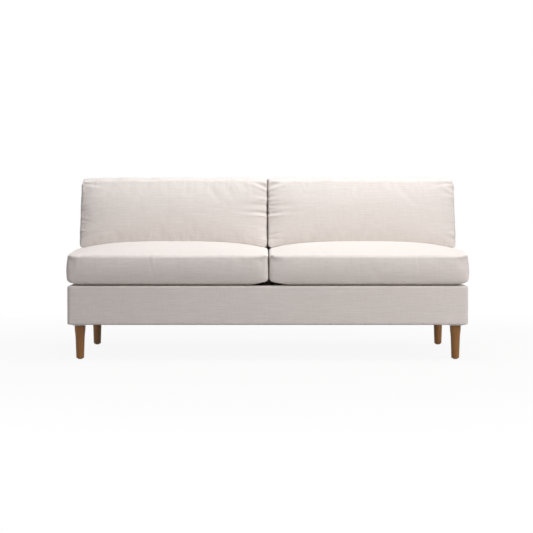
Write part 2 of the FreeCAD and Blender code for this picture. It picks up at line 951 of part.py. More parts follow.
def zip_slider(line_z, rake_above):
    # Rides over the chain, at the closed end near the middle of the sofa.
    low_x = cushion_middle_x - zip_length / 2 + zip_stop_length + slider_clearance
    high_x = low_x + slider_length
    inner = zip_chain_width / 2 + slider_clearance
    outer = inner + slider_wall
    base = zip_tape_thickness + slider_clearance
    roof = zip_tape_thickness + zip_chain_height + slider_clearance
    face = roof + slider_face
    body = zip_prism(
        low_x,
        high_x,
        line_z,
        [
            (base, -outer),
            (face, -outer),
            (face, outer),
            (base, outer),
            (base, inner),
            (roof, inner),
            (roof, -inner),
            (base, -inner),
        ],
        rake_above,
    )
    pull_x = (low_x + high_x - slider_pull_width) / 2
    pull = zip_prism(
        pull_x,
        pull_x + slider_pull_width,
        line_z,
        [
            (face - slider_pull_thickness, -outer - slider_pull_length),
            (face, -outer - slider_pull_length),
            (face, 0),
            (face - slider_pull_thickness, 0),
        ],
        rake_above,
    )
    return body.fuse(pull).removeSplitter()


seat_cover, seat_filling = shell_and_filling(seat_cushion_form)
seat_core_space = seat_cushion_form(cushion_core_inset - layer_gap)
seat_layers = {
    "cover": seat_cover,
    "wrap": seat_filling.cut(seat_core_space),
    "foam": seat_cushion_form(cushion_core_inset),
    "zip": zip_strip(seat_bottom + seat_zip_height, False),
    "zip_slider": zip_slider(seat_bottom + seat_zip_height, False),
}
back_cover, back_filling = shell_and_filling(back_cushion_form)
back_layers = {
    "cover": back_cover,
    "fibre_insert": back_filling,
    "zip": zip_strip(seat_bottom + back_zip_height, True),
    "zip_slider": zip_slider(seat_bottom + back_zip_height, True),
}
for side, side_name in ((-1, "left"), (1, "right")):
    for layer, shape in seat_layers.items():
        parts[side_name + "_seat_cushion_" + layer] = placed(shape, side)
    for layer, shape in back_layers.items():
        parts[side_name + "_back_cushion_" + layer] = placed(shape, side)

os.makedirs("parts", exist_ok=True)
for name, shape in parts.items():
    shape.exportStep("parts/" + name + ".step")
print(len(parts), "nodes")
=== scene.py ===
import json
import math

import bpy
import numpy as np
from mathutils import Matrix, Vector
from mathutils.bvhtree import BVHTree


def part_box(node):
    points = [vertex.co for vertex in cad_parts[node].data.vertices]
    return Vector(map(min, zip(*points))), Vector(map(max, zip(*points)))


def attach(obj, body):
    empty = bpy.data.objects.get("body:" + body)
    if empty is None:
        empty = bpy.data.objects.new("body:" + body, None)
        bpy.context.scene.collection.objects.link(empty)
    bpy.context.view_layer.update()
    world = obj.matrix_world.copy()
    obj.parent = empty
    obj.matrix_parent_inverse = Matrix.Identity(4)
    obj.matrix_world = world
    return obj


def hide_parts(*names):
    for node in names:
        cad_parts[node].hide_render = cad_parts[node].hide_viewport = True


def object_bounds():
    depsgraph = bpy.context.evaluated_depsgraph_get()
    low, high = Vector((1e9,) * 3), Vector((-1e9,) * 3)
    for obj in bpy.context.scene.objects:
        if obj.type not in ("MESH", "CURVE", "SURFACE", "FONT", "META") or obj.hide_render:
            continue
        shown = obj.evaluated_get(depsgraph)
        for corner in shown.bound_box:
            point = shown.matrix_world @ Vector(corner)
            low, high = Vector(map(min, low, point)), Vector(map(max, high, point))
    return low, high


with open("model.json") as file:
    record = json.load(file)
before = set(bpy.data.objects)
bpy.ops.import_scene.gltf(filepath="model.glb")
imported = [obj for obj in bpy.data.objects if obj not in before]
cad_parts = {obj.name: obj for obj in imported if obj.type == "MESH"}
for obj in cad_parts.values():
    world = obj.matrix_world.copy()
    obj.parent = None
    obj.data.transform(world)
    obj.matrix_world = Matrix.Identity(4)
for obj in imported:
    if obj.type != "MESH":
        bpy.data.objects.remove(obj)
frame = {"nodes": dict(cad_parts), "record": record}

# Armless two-seat sofa in metres. The origin is on the floor under the middle,
# +X is the right as seen from the front, -Y is the near side and +Z is up.
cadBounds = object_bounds()
mm = 0.001


# Places taken from the frame
def lowOf(node):
    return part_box(node)[0]


def highOf(node):
    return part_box(node)[1]


deckTop = highOf("seat_deck_cloth").z
hemLow = lowOf("front_base_cover").z
baseFrontY = lowOf("front_base_cover").y
baseOuterX = highOf("right_base_cover").x
insideBackY = lowOf("inside_back_cover").y
backTop = highOf("outside_back_cover").z
coverThickness = highOf("seat_deck_cloth").z - lowOf("seat_deck_cloth").z
baseRearY = highOf("left_base_cover").y + coverThickness
rake = (highOf("outside_back_cover").y - baseRearY) / (backTop - deckTop)
seatRearY = lowOf("right_seat_cushion_zip").y
seatFrontY = cadBounds[0].y
sofaHalfX = cadBounds[1].x
seatLowZ = deckTop + 0.3 * mm


def leaned(y, z):
    # Above the deck everything on the back leans by the rake.
    return y + np.maximum(0, z - deckTop) * rake


def placed(name, data):
    # A new object in the scene.
    piece = bpy.data.objects.new(name, data)
    bpy.context.scene.collection.objects.link(piece)
    return piece


# Camera: far back, at about table height, tilted down a little
cameraView = {
    "fromFront": 8.173,
    "height": 0.7245,
    "aside": -0.0055,
    "lens": 122.25,
    "tiltDown": 2.104,
    "farthest": 100,
}
cameraData = bpy.data.cameras.new("camera")
cameraData.lens = cameraView["lens"]
cameraData.clip_end = cameraView["farthest"]
camera = placed("camera", cameraData)
camera.location = (cameraView["aside"], seatFrontY - cameraView["fromFront"], cameraView["height"])
camera.rotation_euler = (math.radians(90 - cameraView["tiltDown"]), 0, 0)
bpy.context.scene.camera = camera
bpy.context.scene.view_settings.view_transform = "Standard"


# Materials
def hexColour(code):
    # An sRGB hex value as linear colour.
    parts = [int(code[i:i + 2], 16) / 255 for i in (1, 3, 5)]
    return [p / 12.92 if p <= 0.04045 else ((p + 0.055) / 1.055) ** 2.4 for p in parts] + [1]


def addNode(tree, kind, settings=None, links=None):
    # Settings are the node's own or an input's value; links are an input's source socket.
    node = tree.nodes.new(kind)
    for key, value in (settings or {}).items():
        if isinstance(key, str) and hasattr(node, key):
            setattr(node, key, value)
        else:
            node.inputs[key].default_value = value
    for key, source in (links or {}).items():
        tree.links.new(source, node.inputs[key])
    return node


def newMaterial(name):
    # A bare material, its node tree and the node that gives its coordinates.
    material = bpy.data.materials.new(name)
    material.use_nodes = True
    tree = material.node_tree
    tree.nodes.clear()
    return material, tree, addNode(tree, "ShaderNodeTexCoord")


def finished(material, tree, settings, links):
    # The material with one principled shader.
    shader = addNode(tree, "ShaderNodeBsdfPrincipled", settings, links)
    addNode(tree, "ShaderNodeOutputMaterial", {}, {"Surface": shader.outputs[0]})
    return material


def noise(tree, where, size, detail, seed):
    # Noise whose grains measure size, in metres, along the three axes.
    scale = [1 / s for s in size]
    mapping = addNode(
        tree, "ShaderNodeMapping", {"Scale": scale, "Location": (seed, seed, seed)}, {"Vector": where}
    )
    return addNode(
        tree, "ShaderNodeTexNoise", {"Scale": 1.0, "Detail": detail, "Roughness": 0.55},
        {"Vector": mapping.outputs[0]},
    ).outputs[0]


def spread(tree, source, low, high, toLow=0.0, toHigh=1.0):
    # Maps the source's values from low and high to other ends.
    return addNode(
        tree, "ShaderNodeMapRange",
        {"From Min": low, "From Max": high, "To Min": toLow, "To Max": toHigh}, {"Value": source},
    ).outputs[0]


def laidOver(tree, base, colour, source, low, high, most=1.0):
    # A colour over a base, which is a colour or a socket, growing as the source goes from low to high.
    share = spread(tree, source, low, high, 0.0, most)
    node = addNode(tree, "ShaderNodeMix", {"data_type": "RGBA"}, {0: share})
    if isinstance(base, str):
        node.inputs[6].default_value = hexColour(base)
    else:
        tree.links.new(base, node.inputs[6])
    node.inputs[7].default_value = hexColour(colour)
    return node.outputs[2]


def combined(tree, how, first, second):
    # One sum of two values, each a number or a socket.
    node = addNode(tree, "ShaderNodeMath", {"operation": how})
    for index, value in enumerate((first, second)):
        if isinstance(value, float):
            node.inputs[index].default_value = value
        else:
            tree.links.new(value, node.inputs[index])
    return node.outputs[0]


def bumped(tree, height, distance, strength):
    return addNode(
        tree, "ShaderNodeBump", {"Distance": distance, "Strength": strength}, {"Height": height}
    ).outputs[0]


weave = {
    "thread": 2.2 * mm,
    "threadRun": 57.2 * mm,
    "slub": (95 * mm, 4.5 * mm, 4.5 * mm),
    "cloud": (190 * mm, 130 * mm, 160 * mm),
    "roughness": 0.92,
    "relief": 0.9 * mm,
}


def linenWeave(name, colours):
    # Polyester linen-look plain weave: matt, cross-hatched, with thick-and-thin weft threads.
    # The real threads are 0.6 mm apart; they are drawn coarser, so that they still show.
    material, tree, source = newMaterial(name)
    where = source.outputs["UV"]
    thread, run = weave["thread"], weave["threadRun"]
    weft = combined(tree, "MULTIPLY", noise(tree, where, (run, thread, thread), 1.0, 3.1), 0.6)
    warp = combined(tree, "MULTIPLY", noise(tree, where, (thread, run, thread), 1.0, 7.7), 0.4)
    threads = combined(tree, "ADD", weft, warp)
    slubs = noise(tree, where, weave["slub"], 2.0, 11.3)
    cloudy = noise(tree, where, weave["cloud"], 2.0, 5.9)
    base = laidOver(tree, colours[0], colours[1], threads, 0.36, 0.64)
    base = laidOver(tree, base, colours[2], slubs, 0.58, 0.74, 0.55)
    base = laidOver(tree, base, colours[3], slubs, 0.40, 0.26, 0.45)
    base = laidOver(tree, base, colours[0], cloudy, 0.35, 0.68, 0.10)
    height = combined(tree, "ADD", threads, combined(tree, "MULTIPLY", slubs, 0.8))
    return finished(
        material, tree,
        {"Roughness": weave["roughness"], "IOR": 1.45, "Sheen Weight": 0.12, "Sheen Roughness": 0.5,
         "Specular IOR Level": 0.25},
        {"Base Color": base, "Normal": bumped(tree, height, weave["relief"], 0.55)},
    )


def turnedWood(name, colours):
    # Ash turned on a lathe, stained brown, satin lacquer: long grain lines along the leg.
    material, tree, source = newMaterial(name)
    where = source.outputs["Object"]
    bend = noise(tree, where, (35 * mm, 35 * mm, 160 * mm), 2.0, 2.0)
    lines = noise(tree, where, (1.6 * mm, 1.6 * mm, 75 * mm), 3.0, 4.4)
    pores = noise(tree, where, (0.5 * mm, 0.5 * mm, 11 * mm), 1.0, 8.2)
    body = laidOver(tree, colours[0], colours[1], bend, 0.32, 0.70)
    body = laidOver(tree, body, colours[2], lines, 0.50, 0.68, 0.62)
    body = laidOver(tree, body, colours[3], pores, 0.62, 0.74, 0.55)
    return finished(
        material, tree, {"Roughness": 0.45, "IOR": 1.5, "Coat Weight": 0.12, "Coat Roughness": 0.22},
        {"Base Color": body, "Normal": bumped(tree, lines, 0.25 * mm, 0.4)},
    )


def plainWood(name, colours):
    # Kiln-dried poplar and pine rails, sawn and planed, unfinished: pale, dry, with grain lines.
    material, tree, source = newMaterial(name)
    where = source.outputs["Object"]
    bands = noise(tree, where, (350 * mm, 12 * mm, 6 * mm), 3.0, 1.7)
    fuzz = noise(tree, where, (30 * mm, 0.8 * mm, 0.8 * mm), 2.0, 6.1)
    body = laidOver(tree, colours[0], colours[1], bands, 0.35, 0.66)
    body = laidOver(tree, body, colours[2], fuzz, 0.5, 0.75, 0.35)
    return finished(
        material, tree, {"Roughness": 0.78, "IOR": 1.5},
        {"Base Color": body, "Normal": bumped(tree, fuzz, 0.3 * mm, 0.5)},
    )


def wornMetal(name, colours, roughness, streak):
    # Plated or drawn steel: grey metal with fine marks and slightly uneven gloss.
    material, tree, source = newMaterial(name)
    where = source.outputs["Object"]
    marks = noise(tree, where, streak, 3.0, 2.9)
    patches = noise(tree, where, (20 * mm, 20 * mm, 20 * mm), 2.0, 9.5)
    body = laidOver(tree, colours[0], colours[1], patches, 0.35, 0.65)
    gloss = spread(tree, marks, 0.3, 0.7, roughness - 0.08, roughness + 0.10)
    return finished(
        material, tree, {"Metallic": 1.0},
        {"Base Color": body, "Roughness": gloss, "Normal": bumped(tree, marks, 0.05 * mm, 0.4)},
    )


def fibrous(name, colours, size, depth, roughness, sheen, stretch=(1, 1, 1)):
    # Cloth-like or open material: fibres, pores or spun filaments of one size.
    material, tree, source = newMaterial(name)
    where = source.outputs["Object"]
    grain = noise(tree, where, [size * s for s in stretch], 3.0, 4.8)
    patches = noise(tree, where, (60 * mm, 60 * mm, 60 * mm), 2.0, 1.3)
    body = laidOver(tree, colours[0], colours[1], grain, 0.34, 0.66)
    body = laidOver(tree, body, colours[0], patches, 0.4, 0.7, 0.25)
    return finished(
        material, tree, {"Roughness": roughness, "IOR": 1.45, "Sheen Weight": sheen},
        {"Base Color": body, "Normal": bumped(tree, grain, depth, 0.7)},
    )


upholstery = linenWeave("linenLookUpholstery", ["#DFDAD5", "#E8E3DF", "#EFECE9", "#D5CEC9"])
materials = {
    "frame_hardwood": plainWood("planedPoplar", ["#D9BE92", "#B8935F", "#9C774A"]),
    "leg_wood": turnedWood("brownStainedAsh", ["#865518", "#A06C24", "#69400F", "#482A09"]),
    # Injection-moulded nylon: dull grey with a faint orange peel
    "glide_nylon": fibrous("greyMouldedNylon", ["#9C9B98", "#8C8B88"], 1.4 * mm, 0.05 * mm, 0.5, 0.0),
    # Bright zinc plate on pressed steel
    "zinc_plated_steel": wornMetal("zincPlatedSteel", ["#C6C9CC", "#AEB2B8"], 0.32, (3 * mm, 3 * mm, 3 * mm)),
    # Oiled spring wire: darker, drawn along its length
    "spring_steel": wornMetal("oiledSpringSteel", ["#7A7C80", "#5F6166"], 0.38, (9 * mm, 1 * mm, 1 * mm)),
    # Wire wound with spun kraft paper
    "paper_wrapped_wire": fibrous("kraftWrappedWire", ["#B39163", "#8F7046"], 1.2 * mm, 0.3 * mm, 0.9, 0.0),
    # Rubber and polypropylene webbing, woven across
    "elastic_webbing": fibrous(
        "elasticWebbing", ["#B9AB92", "#9A8C73"], 1.6 * mm, 0.5 * mm, 0.8, 0.1, (3, 3, 0.6)
    ),
    # Bonded polyester fibre, white and airy
    "polyester_wadding": fibrous("polyesterWadding", ["#F4F3EF", "#E4E2DC"], 5 * mm, 1.5 * mm, 0.95, 0.3),
    # Cut polyurethane foam, cream, with open cells
    "cushion_foam": fibrous("cutFoam", ["#EFE3BC", "#DDCD9C"], 1.5 * mm, 0.6 * mm, 0.95, 0.0),
    "upholstery_fabric": upholstery,
    # Cotton twill decking, off-white and plain
    "deck_cloth": fibrous("cottonDecking", ["#D5CEC0", "#C2BAA9"], 1.5 * mm, 0.3 * mm, 0.95, 0.1, (1, 5, 1)),
    # Spunbond polypropylene, black and matt with a faint point bond
    "black_underlining": fibrous("blackSpunbond", ["#1B1B1C", "#2A2A2B"], 2.2 * mm, 0.3 * mm, 0.85, 0.1),
    # Nylon coil zip on woven tape, dyed to the cloth
    "zip_nylon": fibrous("woundNylonZip", ["#D9D2C8", "#C4BCB1"], 1.0 * mm, 0.25 * mm, 0.55, 0.1, (1, 1, 3)),
    "zip_slider_nickel": wornMetal("nickelPlate", ["#D0CCC4", "#BDB8AE"], 0.2, (2 * mm, 2 * mm, 2 * mm)),
}
slotOf = {part["node"]: part["material_slot"] for part in frame["record"]["subparts"]}
for nodeName, nodeObject in frame["nodes"].items():
    nodeObject.data.materials.clear()
    nodeObject.data.materials.append(materials[slotOf[nodeName]])
print("materials on", len(frame["nodes"]), "frame pieces")


# Mesh helpers
def cuts(low, high, pitch, edges=()):
    # Even cuts from low to high, with closer ones at both ends where the seams are.
    near = np.cumsum(edges)
    reach = near[-1] if len(edges) else 0
    count = max(2, round((high - low - 2 * reach) / pitch))
    middle = np.linspace(low + reach, high - reach, count + 1)
    if not len(edges):
        return middle
    return np.concatenate([[low], low + near[:-1], middle, high - near[:-1][::-1], [high]])


# The cloth's pattern starts at another place on each side of a block
patternShift = 0.37


class Lattice:
    # The six faces of a block, cut along xs, ys and zs into one closed skin of quads.
    def __init__(self, xs, ys, zs):
        cutsAlong = [np.asarray(c, float) for c in (xs, ys, zs)]
        shape = [len(c) for c in cutsAlong]
        index = np.indices(shape)
        onSkin = np.zeros(shape, bool)
        for axis in range(3):
            onSkin |= (index[axis] == 0) | (index[axis] == shape[axis] - 1)
        ids = -np.ones(shape, int)
        ids[onSkin] = np.arange(onSkin.sum())
        self.places = np.column_stack([cutsAlong[a][index[a][onSkin]] for a in range(3)])
        self.low = self.places.min(0)
        self.high = self.places.max(0)
        sheets = [
            (ids[:, :, 0], (0, 1), True), (ids[:, :, -1], (0, 1), False),
            (ids[:, 0, :], (0, 2), False), (ids[:, -1, :], (0, 2), True),
            (ids[0, :, :], (1, 2), True), (ids[-1, :, :], (1, 2), False),
        ]
        quads, flats, sides = [], [], []
        for side, (grid, axes, turned) in enumerate(sheets):
            corners = [grid[:-1, :-1], grid[1:, :-1], grid[1:, 1:], grid[:-1, 1:]]
            if turned:
                corners = corners[::-1]
            block = np.stack([c.ravel() for c in corners], axis=1)
            quads.append(block)
            flats.append(self.places[block][:, :, list(axes)] + patternShift * side)
            sides.append(np.full(len(block), side))
        self.quads = np.concatenate(quads)
        self.flats = np.concatenate(flats)
        self.sides = np.concatenate(sides)

    def keep(self, chosen):
        # Leaves only the chosen quads, for skins with an opening.
        self.quads = self.quads[chosen]
        self.flats = self.flats[chosen]
        self.sides = self.sides[chosen]

    def onEnds(self, *axes):
        # True for the places at either end of any of these axes.
        return np.any(
            [(self.places[:, a] == self.low[a]) | (self.places[:, a] == self.high[a]) for a in axes], axis=0
        )


def blockLattice(low, high, values):
    return Lattice(*[cuts(low[a], high[a], values["pitch"], values["edgeSteps"]) for a in range(3)])


def meshPiece(name, places, lattice, material, keepRest=False):
    # A mesh object with its own cloth coordinates and, if asked, its places before shaping.
    quads = lattice.quads
    used = np.unique(quads)
    renumber = np.zeros(len(places), int)
    renumber[used] = np.arange(len(used))
    mesh = bpy.data.meshes.new(name)
    mesh.from_pydata(places[used].tolist(), [], renumber[quads].tolist())
    layer = mesh.uv_layers.new(name="flatCloth")
    layer.data.foreach_set("uv", np.asarray(lattice.flats, np.float32).ravel())
    if keepRest:
        for axis, letter in enumerate("XYZ"):
            attribute = mesh.attributes.new("rest" + letter, "FLOAT", "POINT")
            attribute.data.foreach_set("value", lattice.places[used][:, axis].astype(np.float32))
    mesh.materials.append(material)
    mesh.shade_smooth()
    mesh.update()
    return placed(name, mesh)


def plainPiece(name, places, faces, material=None):
    mesh = bpy.data.meshes.new(name)
    mesh.from_pydata(places, [], faces)
    if material:
        mesh.materials.append(material)
    mesh.shade_smooth()
    return placed(name, mesh)


def placesOf(mesh, what="co"):
    values = np.empty(len(mesh.vertices) * 3, np.float32)
    mesh.vertices.foreach_get(what, values)
    return values.reshape(-1, 3).astype(float)


def normalsOf(mesh):
    return placesOf(mesh, "normal")


def setPlaces(mesh, places):
    mesh.vertices.foreach_set("co", np.asarray(places, np.float32).ravel())
    mesh.update()


def restOf(mesh):
    # Where the finished points were on the block before it was shaped.
    rest = np.empty((len(mesh.vertices), 3))
    for axis, letter in enumerate("XYZ"):
        values = np.empty(len(mesh.vertices), np.float32)
        mesh.attributes["rest" + letter].data.foreach_get("value", values)
        rest[:, axis] = values
    return rest


def applied(piece):
    # The piece with its modifiers turned into plain mesh.
    bpy.context.view_layer.update()
    graph = bpy.context.evaluated_depsgraph_get()
    mesh = bpy.data.meshes.new_from_object(
        piece.evaluated_get(graph), preserve_all_data_layers=True, depsgraph=graph
    )
    piece.modifiers.clear()
    piece.data = mesh
    return piece


def subdivided(piece, levels=2):
    modifier = piece.modifiers.new("finer", "SUBSURF")
    modifier.levels = levels
    modifier.render_levels = levels
    return applied(piece)


def thickened(piece, thickness):
    modifier = piece.modifiers.new("thickness", "SOLIDIFY")
    modifier.thickness = thickness
    modifier.offset = -1
    modifier.use_even_offset = True
    return applied(piece)


def installed(piece, body, slotName, *nodes):
    # The finished piece rides on its body, in place of the named nodes; slotName is not used.
    for name in [a.name for a in piece.data.attributes if a.name.startswith("rest")]:
        piece.data.attributes.remove(piece.data.attributes[name])
    if nodes:
        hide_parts(*nodes)
    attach(piece, body)
    return piece


def smoothStep(t):
    t = np.clip(t, 0, 1)
    return t * t * (3 - 2 * t)


def fullness(share, power, soften=1.0):
    # 1 in the middle, falling to 0 at a share of -1 or 1.
    return np.clip(1 - np.abs(share) ** power, 0, 1) ** soften


def roundedPlan(x, y, centre, reach, radius):
    # Turns the square plan corners of a block into round ones.
    offset = np.stack([x - centre[0], y - centre[1]])
    sign = np.where(offset < 0, -1.0, 1.0)
    inside = reach - radius
    beyond = (np.abs(offset) - inside) / radius
    both = (beyond > 0).all(axis=0)
    a, b = np.clip(beyond, 0, 1)
    turned = np.stack([a * np.sqrt(1 - b * b / 2), b * np.sqrt(1 - a * a / 2)])
    moved = sign * (inside + turned * radius)
    x, y = np.where(both, moved, offset)
    return x + centre[0], y + centre[1]


# Cushions are swollen with cloth simulation from slightly smaller shapes
swellFrames = 20
clothSettings = {
    "quality": 4,
    "mass": 0.3,
    "tension_stiffness": 60.0,
    "compression_stiffness": 60.0,
    "shear_stiffness": 20.0,
    "bending_stiffness": 0.5,
    "tension_damping": 5.0,
    "compression_damping": 5.0,
    "shear_damping": 5.0,
    "air_damping": 2.0,
    "use_pressure": True,
    "uniform_pressure_force": 4.0,
    "shrink_min": -0.003,
    "vertex_group_mass": "sewn",
}


def swell(piecesAndPins):
    # Runs the cloth on every piece at once, and keeps each point's travel under its cap.
    scene = bpy.context.scene
    before = {}
    for piece, pinned, cap in piecesAndPins:
        before[piece.name] = placesOf(piece.data)
        group = piece.vertex_groups.new(name="sewn")
        group.add(np.flatnonzero(pinned).tolist(), 1.0, "REPLACE")
        modifier = piece.modifiers.new("cloth", "CLOTH")
        for key, value in clothSettings.items():
            setattr(modifier.settings, key, value)
        modifier.settings.effector_weights.gravity = 0
        modifier.collision_settings.use_collision = False
        modifier.collision_settings.use_self_collision = False
        modifier.point_cache.frame_start = 1
        modifier.point_cache.frame_end = swellFrames
    scene.frame_start = 1
    scene.frame_end = swellFrames
    for step in range(1, swellFrames + 1):
        scene.frame_set(step)
    graph = bpy.context.evaluated_depsgraph_get()
    for piece, pinned, cap in piecesAndPins:
        after = placesOf(piece.evaluated_get(graph).data)
        travel = after - before[piece.name]
        length = np.linalg.norm(travel, axis=1)
        limited = cap * np.tanh(length / cap)
        travel *= (limited / np.maximum(length, 1e-9))[:, None]
        print("  ", piece.name, "swelled by up to", round(float(length.max()) * 1000, 1), "mm")
        piece.modifiers.clear()
        piece.vertex_groups.clear()
        setPlaces(piece.data, before[piece.name] + travel)
    scene.frame_set(1)


def seamEdges(lattice, axis):
    # The eight seams of a boxed cushion, as (fixed axis, place, fixed axis, place, running axis).
    others = [a for a in range(3) if a != axis]
    edges = []
    for end in (lattice.low[axis], lattice.high[axis]):
        for fixed, running in (others, others[::-1]):
            for side in (lattice.low[fixed], lattice.high[fixed]):
                edges.append((axis, end, fixed, side, running))
    return edges


def fromSeam(rest, edge):
    # How far each point lies from one seam, measured along the cloth.
    axisA, placeA, axisB, placeB, _ = edge
    return np.abs(rest[:, axisA] - placeA) + np.abs(rest[:, axisB] - placeB)


# Gathers fade with this power of the distance, and end past this many times the longest reach
gatherFade, gatherEnd = 1.6, 2.2


def puckered(rest, edges, puckers, amounts, side):
    # Gathers that run away from each seam: many narrow ridges and valleys, each fading out.
    chance = np.random.default_rng(puckers["seed"] + side)
    height = np.zeros(len(rest))
    for edge, amount in zip(edges, amounts):
        away = fromSeam(rest, edge)
        near = away < puckers["reach"][1] * gatherEnd
        running = edge[4]
        along = rest[near, running]
        distance = away[near]
        start = rest[:, running].min()
        span = rest[:, running].max() - start
        total = np.zeros(near.sum())
        for _ in range(int(span / puckers["spacing"])):
            place = start + span * chance.random()
            width = chance.uniform(*puckers["width"])
            reach = chance.uniform(*puckers["reach"])
            depth = chance.normal() * puckers["depth"]
            slant = chance.normal() * puckers["slant"]
            ridge = np.exp(-(((along - place - slant * distance) / width) ** 2))
            total += depth * ridge * np.exp(-((distance / reach) ** gatherFade))
        height[near] += amount * total
    return height


def seamGroove(rest, edges, groove):
    # The stitched line sinks, and the cloth rolls up a little on both sides of it.
    height = np.zeros(len(rest))
    for edge in edges:
        away = fromSeam(rest, edge)
        height -= groove["depth"] * np.exp(-((away / groove["width"]) ** 2))
        height += groove["roll"] * np.exp(-(((away - groove["rollAway"]) / groove["rollWidth"]) ** 2))
    return height


# Seat cushions
seatCushion = {
    "pitch": 20 * mm,
    "seamSteps": (4 * mm, 7 * mm, 12 * mm),
    "gap": 2.2 * mm,
    "clearOfGap": 2.5 * mm,
    "gapCentre": 5 * mm,
    "outerX": 0.911,
    "cornerRadius": 20 * mm,
    "lowerRadius": 40 * mm,
    "lowerRise": 26 * mm,
    "wallBulge": 5 * mm,
    "wallBulgeStart": 0.25,
    "seamHeight": 0.4725,
    "crown": 45 * mm,
    "sideFall": 0.62,
    "crownPower": 3.0,
    "crownShift": 0.3,
    "edgeLift": 2.6 * mm,
    "edgeLiftReach": 110 * mm,
    "innerLift": 10 * mm,
    "innerLiftReach": 75 * mm,
    "outerLift": 4 * mm,
    "outerLiftReach": 45 * mm,
    "liftDepth": 150 * mm,
    "liftHeight": 0.6,
    "travelCap": 9 * mm,
    "travelCapBelow": 1.5 * mm,
    "freeFrom": 40 * mm,
    "freeReach": 50 * mm,
    "fill": 0.9,
}
seatPuckers = {
    "spacing": 16 * mm, "width": (6 * mm, 15 * mm), "reach": (14 * mm, 60 * mm),
    "depth": 0.55 * mm, "slant": 0.25, "atFoot": 0.15, "atTop": 1.0, "seed": 11,
}
softSeamShape = {
    "depth": 0.6 * mm, "width": 2.0 * mm, "roll": 0.3 * mm, "rollAway": 6.5 * mm, "rollWidth": 4.0 * mm,
}
seamShape = {
    "depth": 1.3 * mm, "width": 2.2 * mm, "roll": 0.8 * mm, "rollAway": 6.5 * mm, "rollWidth": 4.0 * mm,
}
sideNames = {"left": -1, "right": 1}


def seatCrown(u, v):
    # Height of the seat's top at shares of its half width and half depth.
    s = seatCushion
    shifted = (v - s["crownShift"]) / (1 - s["crownShift"] * v)
    across = 1 - s["sideFall"] * np.abs(u) ** s["crownPower"]
    return s["seamHeight"] + s["crown"] * across * (1 - np.abs(shifted) ** s["crownPower"])


def seatForm(side):
    # A boxed block: crowned top, walls that swell between the seams, rounded lower edges.
    s = seatCushion
    inner, outer = s["gap"] + side * s["gapCentre"], s["outerX"]
    xs = cuts(*sorted((side * inner, side * outer)), s["pitch"], s["seamSteps"])
    ys = cuts(seatFrontY, seatRearY, s["pitch"], s["seamSteps"])
    wallHeight = s["seamHeight"] - seatLowZ
    zs = cuts(0, wallHeight, s["pitch"], s["seamSteps"])
    lattice = Lattice(xs, ys, zs)
    rest = lattice.places
    centre = np.array([side * (inner + outer) / 2, (seatFrontY + seatRearY) / 2])
    half = np.array([(outer - inner) / 2, (seatRearY - seatFrontY) / 2])
    u = side * (rest[:, 0] - centre[0]) / half[0]
    v = (rest[:, 1] - centre[1]) / half[1]
    up = rest[:, 2]
    seamZ = seatCrown(u, v)

    radius = s["lowerRadius"]
    arc = radius * math.pi / 2
    turn = np.clip(up / arc, 0, 1) * math.pi / 2
    onWall = np.clip((up - arc) / (wallHeight - arc), 0, 1)
    bulge = np.clip((onWall - s["wallBulgeStart"]) / (1 - s["wallBulgeStart"]), 0, 1) ** 2
    inset = radius * (1 - np.sin(turn)) + s["wallBulge"] * bulge
    curved = s["lowerRise"] * (1 - np.cos(turn))
    z = seatLowZ + curved + onWall * (seamZ - seatLowZ - s["lowerRise"])
    z = np.where(up >= wallHeight, seamZ, z)

    x = centre[0] + (rest[:, 0] - centre[0]) * (1 - inset / half[0])
    y = centre[1] + (rest[:, 1] - centre[1]) * (1 - inset / half[1])
    reach = half[:, None] - inset[None, :]
    x, y = roundedPlan(x, y, centre, reach, s["cornerRadius"])

    # The lower corners turn up, more beside the gap between the cushions
    low = 1 - smoothStep(up / (s["liftHeight"] * wallHeight))
    fromEnds = np.minimum((1 + v) * half[1], (1 - v) * half[1])
    endFall = 1 - smoothStep(fromEnds / s["liftDepth"])
    innerFall = np.clip(1 - (1 + u) * half[0] / s["innerLiftReach"], 0, 1) ** 2
    outerFall = np.clip(1 - (1 - u) * half[0] / s["outerLiftReach"], 0, 1) ** 2
    z += low * endFall * (s["innerLift"] * innerFall + s["outerLift"] * outerFall)
    fromEdge = np.minimum((1 - np.abs(u)) * half[0], fromEnds)
    z += low * s["edgeLift"] * (1 - smoothStep(fromEdge / s["edgeLiftReach"]))
    return lattice, np.column_stack([x, y, z])


# Back cushions
backCushion = {
    "pitch": 18 * mm,
    "risePitch": 12 * mm,
    "seamSteps": (4 * mm, 7 * mm, 12 * mm),
    "gap": 2.0 * mm,
    "clearOfGap": 0.06 * mm,
    "clearAtSeam": 2.3 * mm,
    "clearDepth": 75 * mm,
    "pressReach": 40 * mm,
    "rearOpen": 30 * mm,
    "innerCornerRadius": 5 * mm,
    "outerX": 0.923,
    "seatDepth": 0.635,
    "seamBehindFace": 20 * mm,
    "recline": 8.0,
    "faceAcross": (6, 0.55),
    "faceAbove": (2.6, 0.72),
    "faceBelow": (4, 0.6),
    "faceCrown": 22 * mm,
    "rearCrown": 14 * mm,
    "innerSeamInset": 4.0 * mm,
    "outerSeamInset": 7 * mm,
    "topSeamHeight": 0.818,
    "topCrown": 15 * mm,
    "topSlant": 9 * mm,
    "topDroop": 3 * mm,
    "topWave": 0.9 * mm,
    "topWaves": ((23, 1.0, 1.0), (41, 2.1, 1.0), (67, 0.0, 0.7)),
    "footLift": 1 * mm,
    "cornerSwell": 0.25,
    "cornerRadius": 11 * mm,
    "footRadius": 17 * mm,
    "touchesBackAbove": 0.61,
    "touch": 4.6 * mm,
    "touchReach": 60 * mm,
    "standsBelow": 0.60,
    "clearOfSeat": 0.6 * mm,
    "travelCap": 16 * mm,
    "fill": 0.75,
}
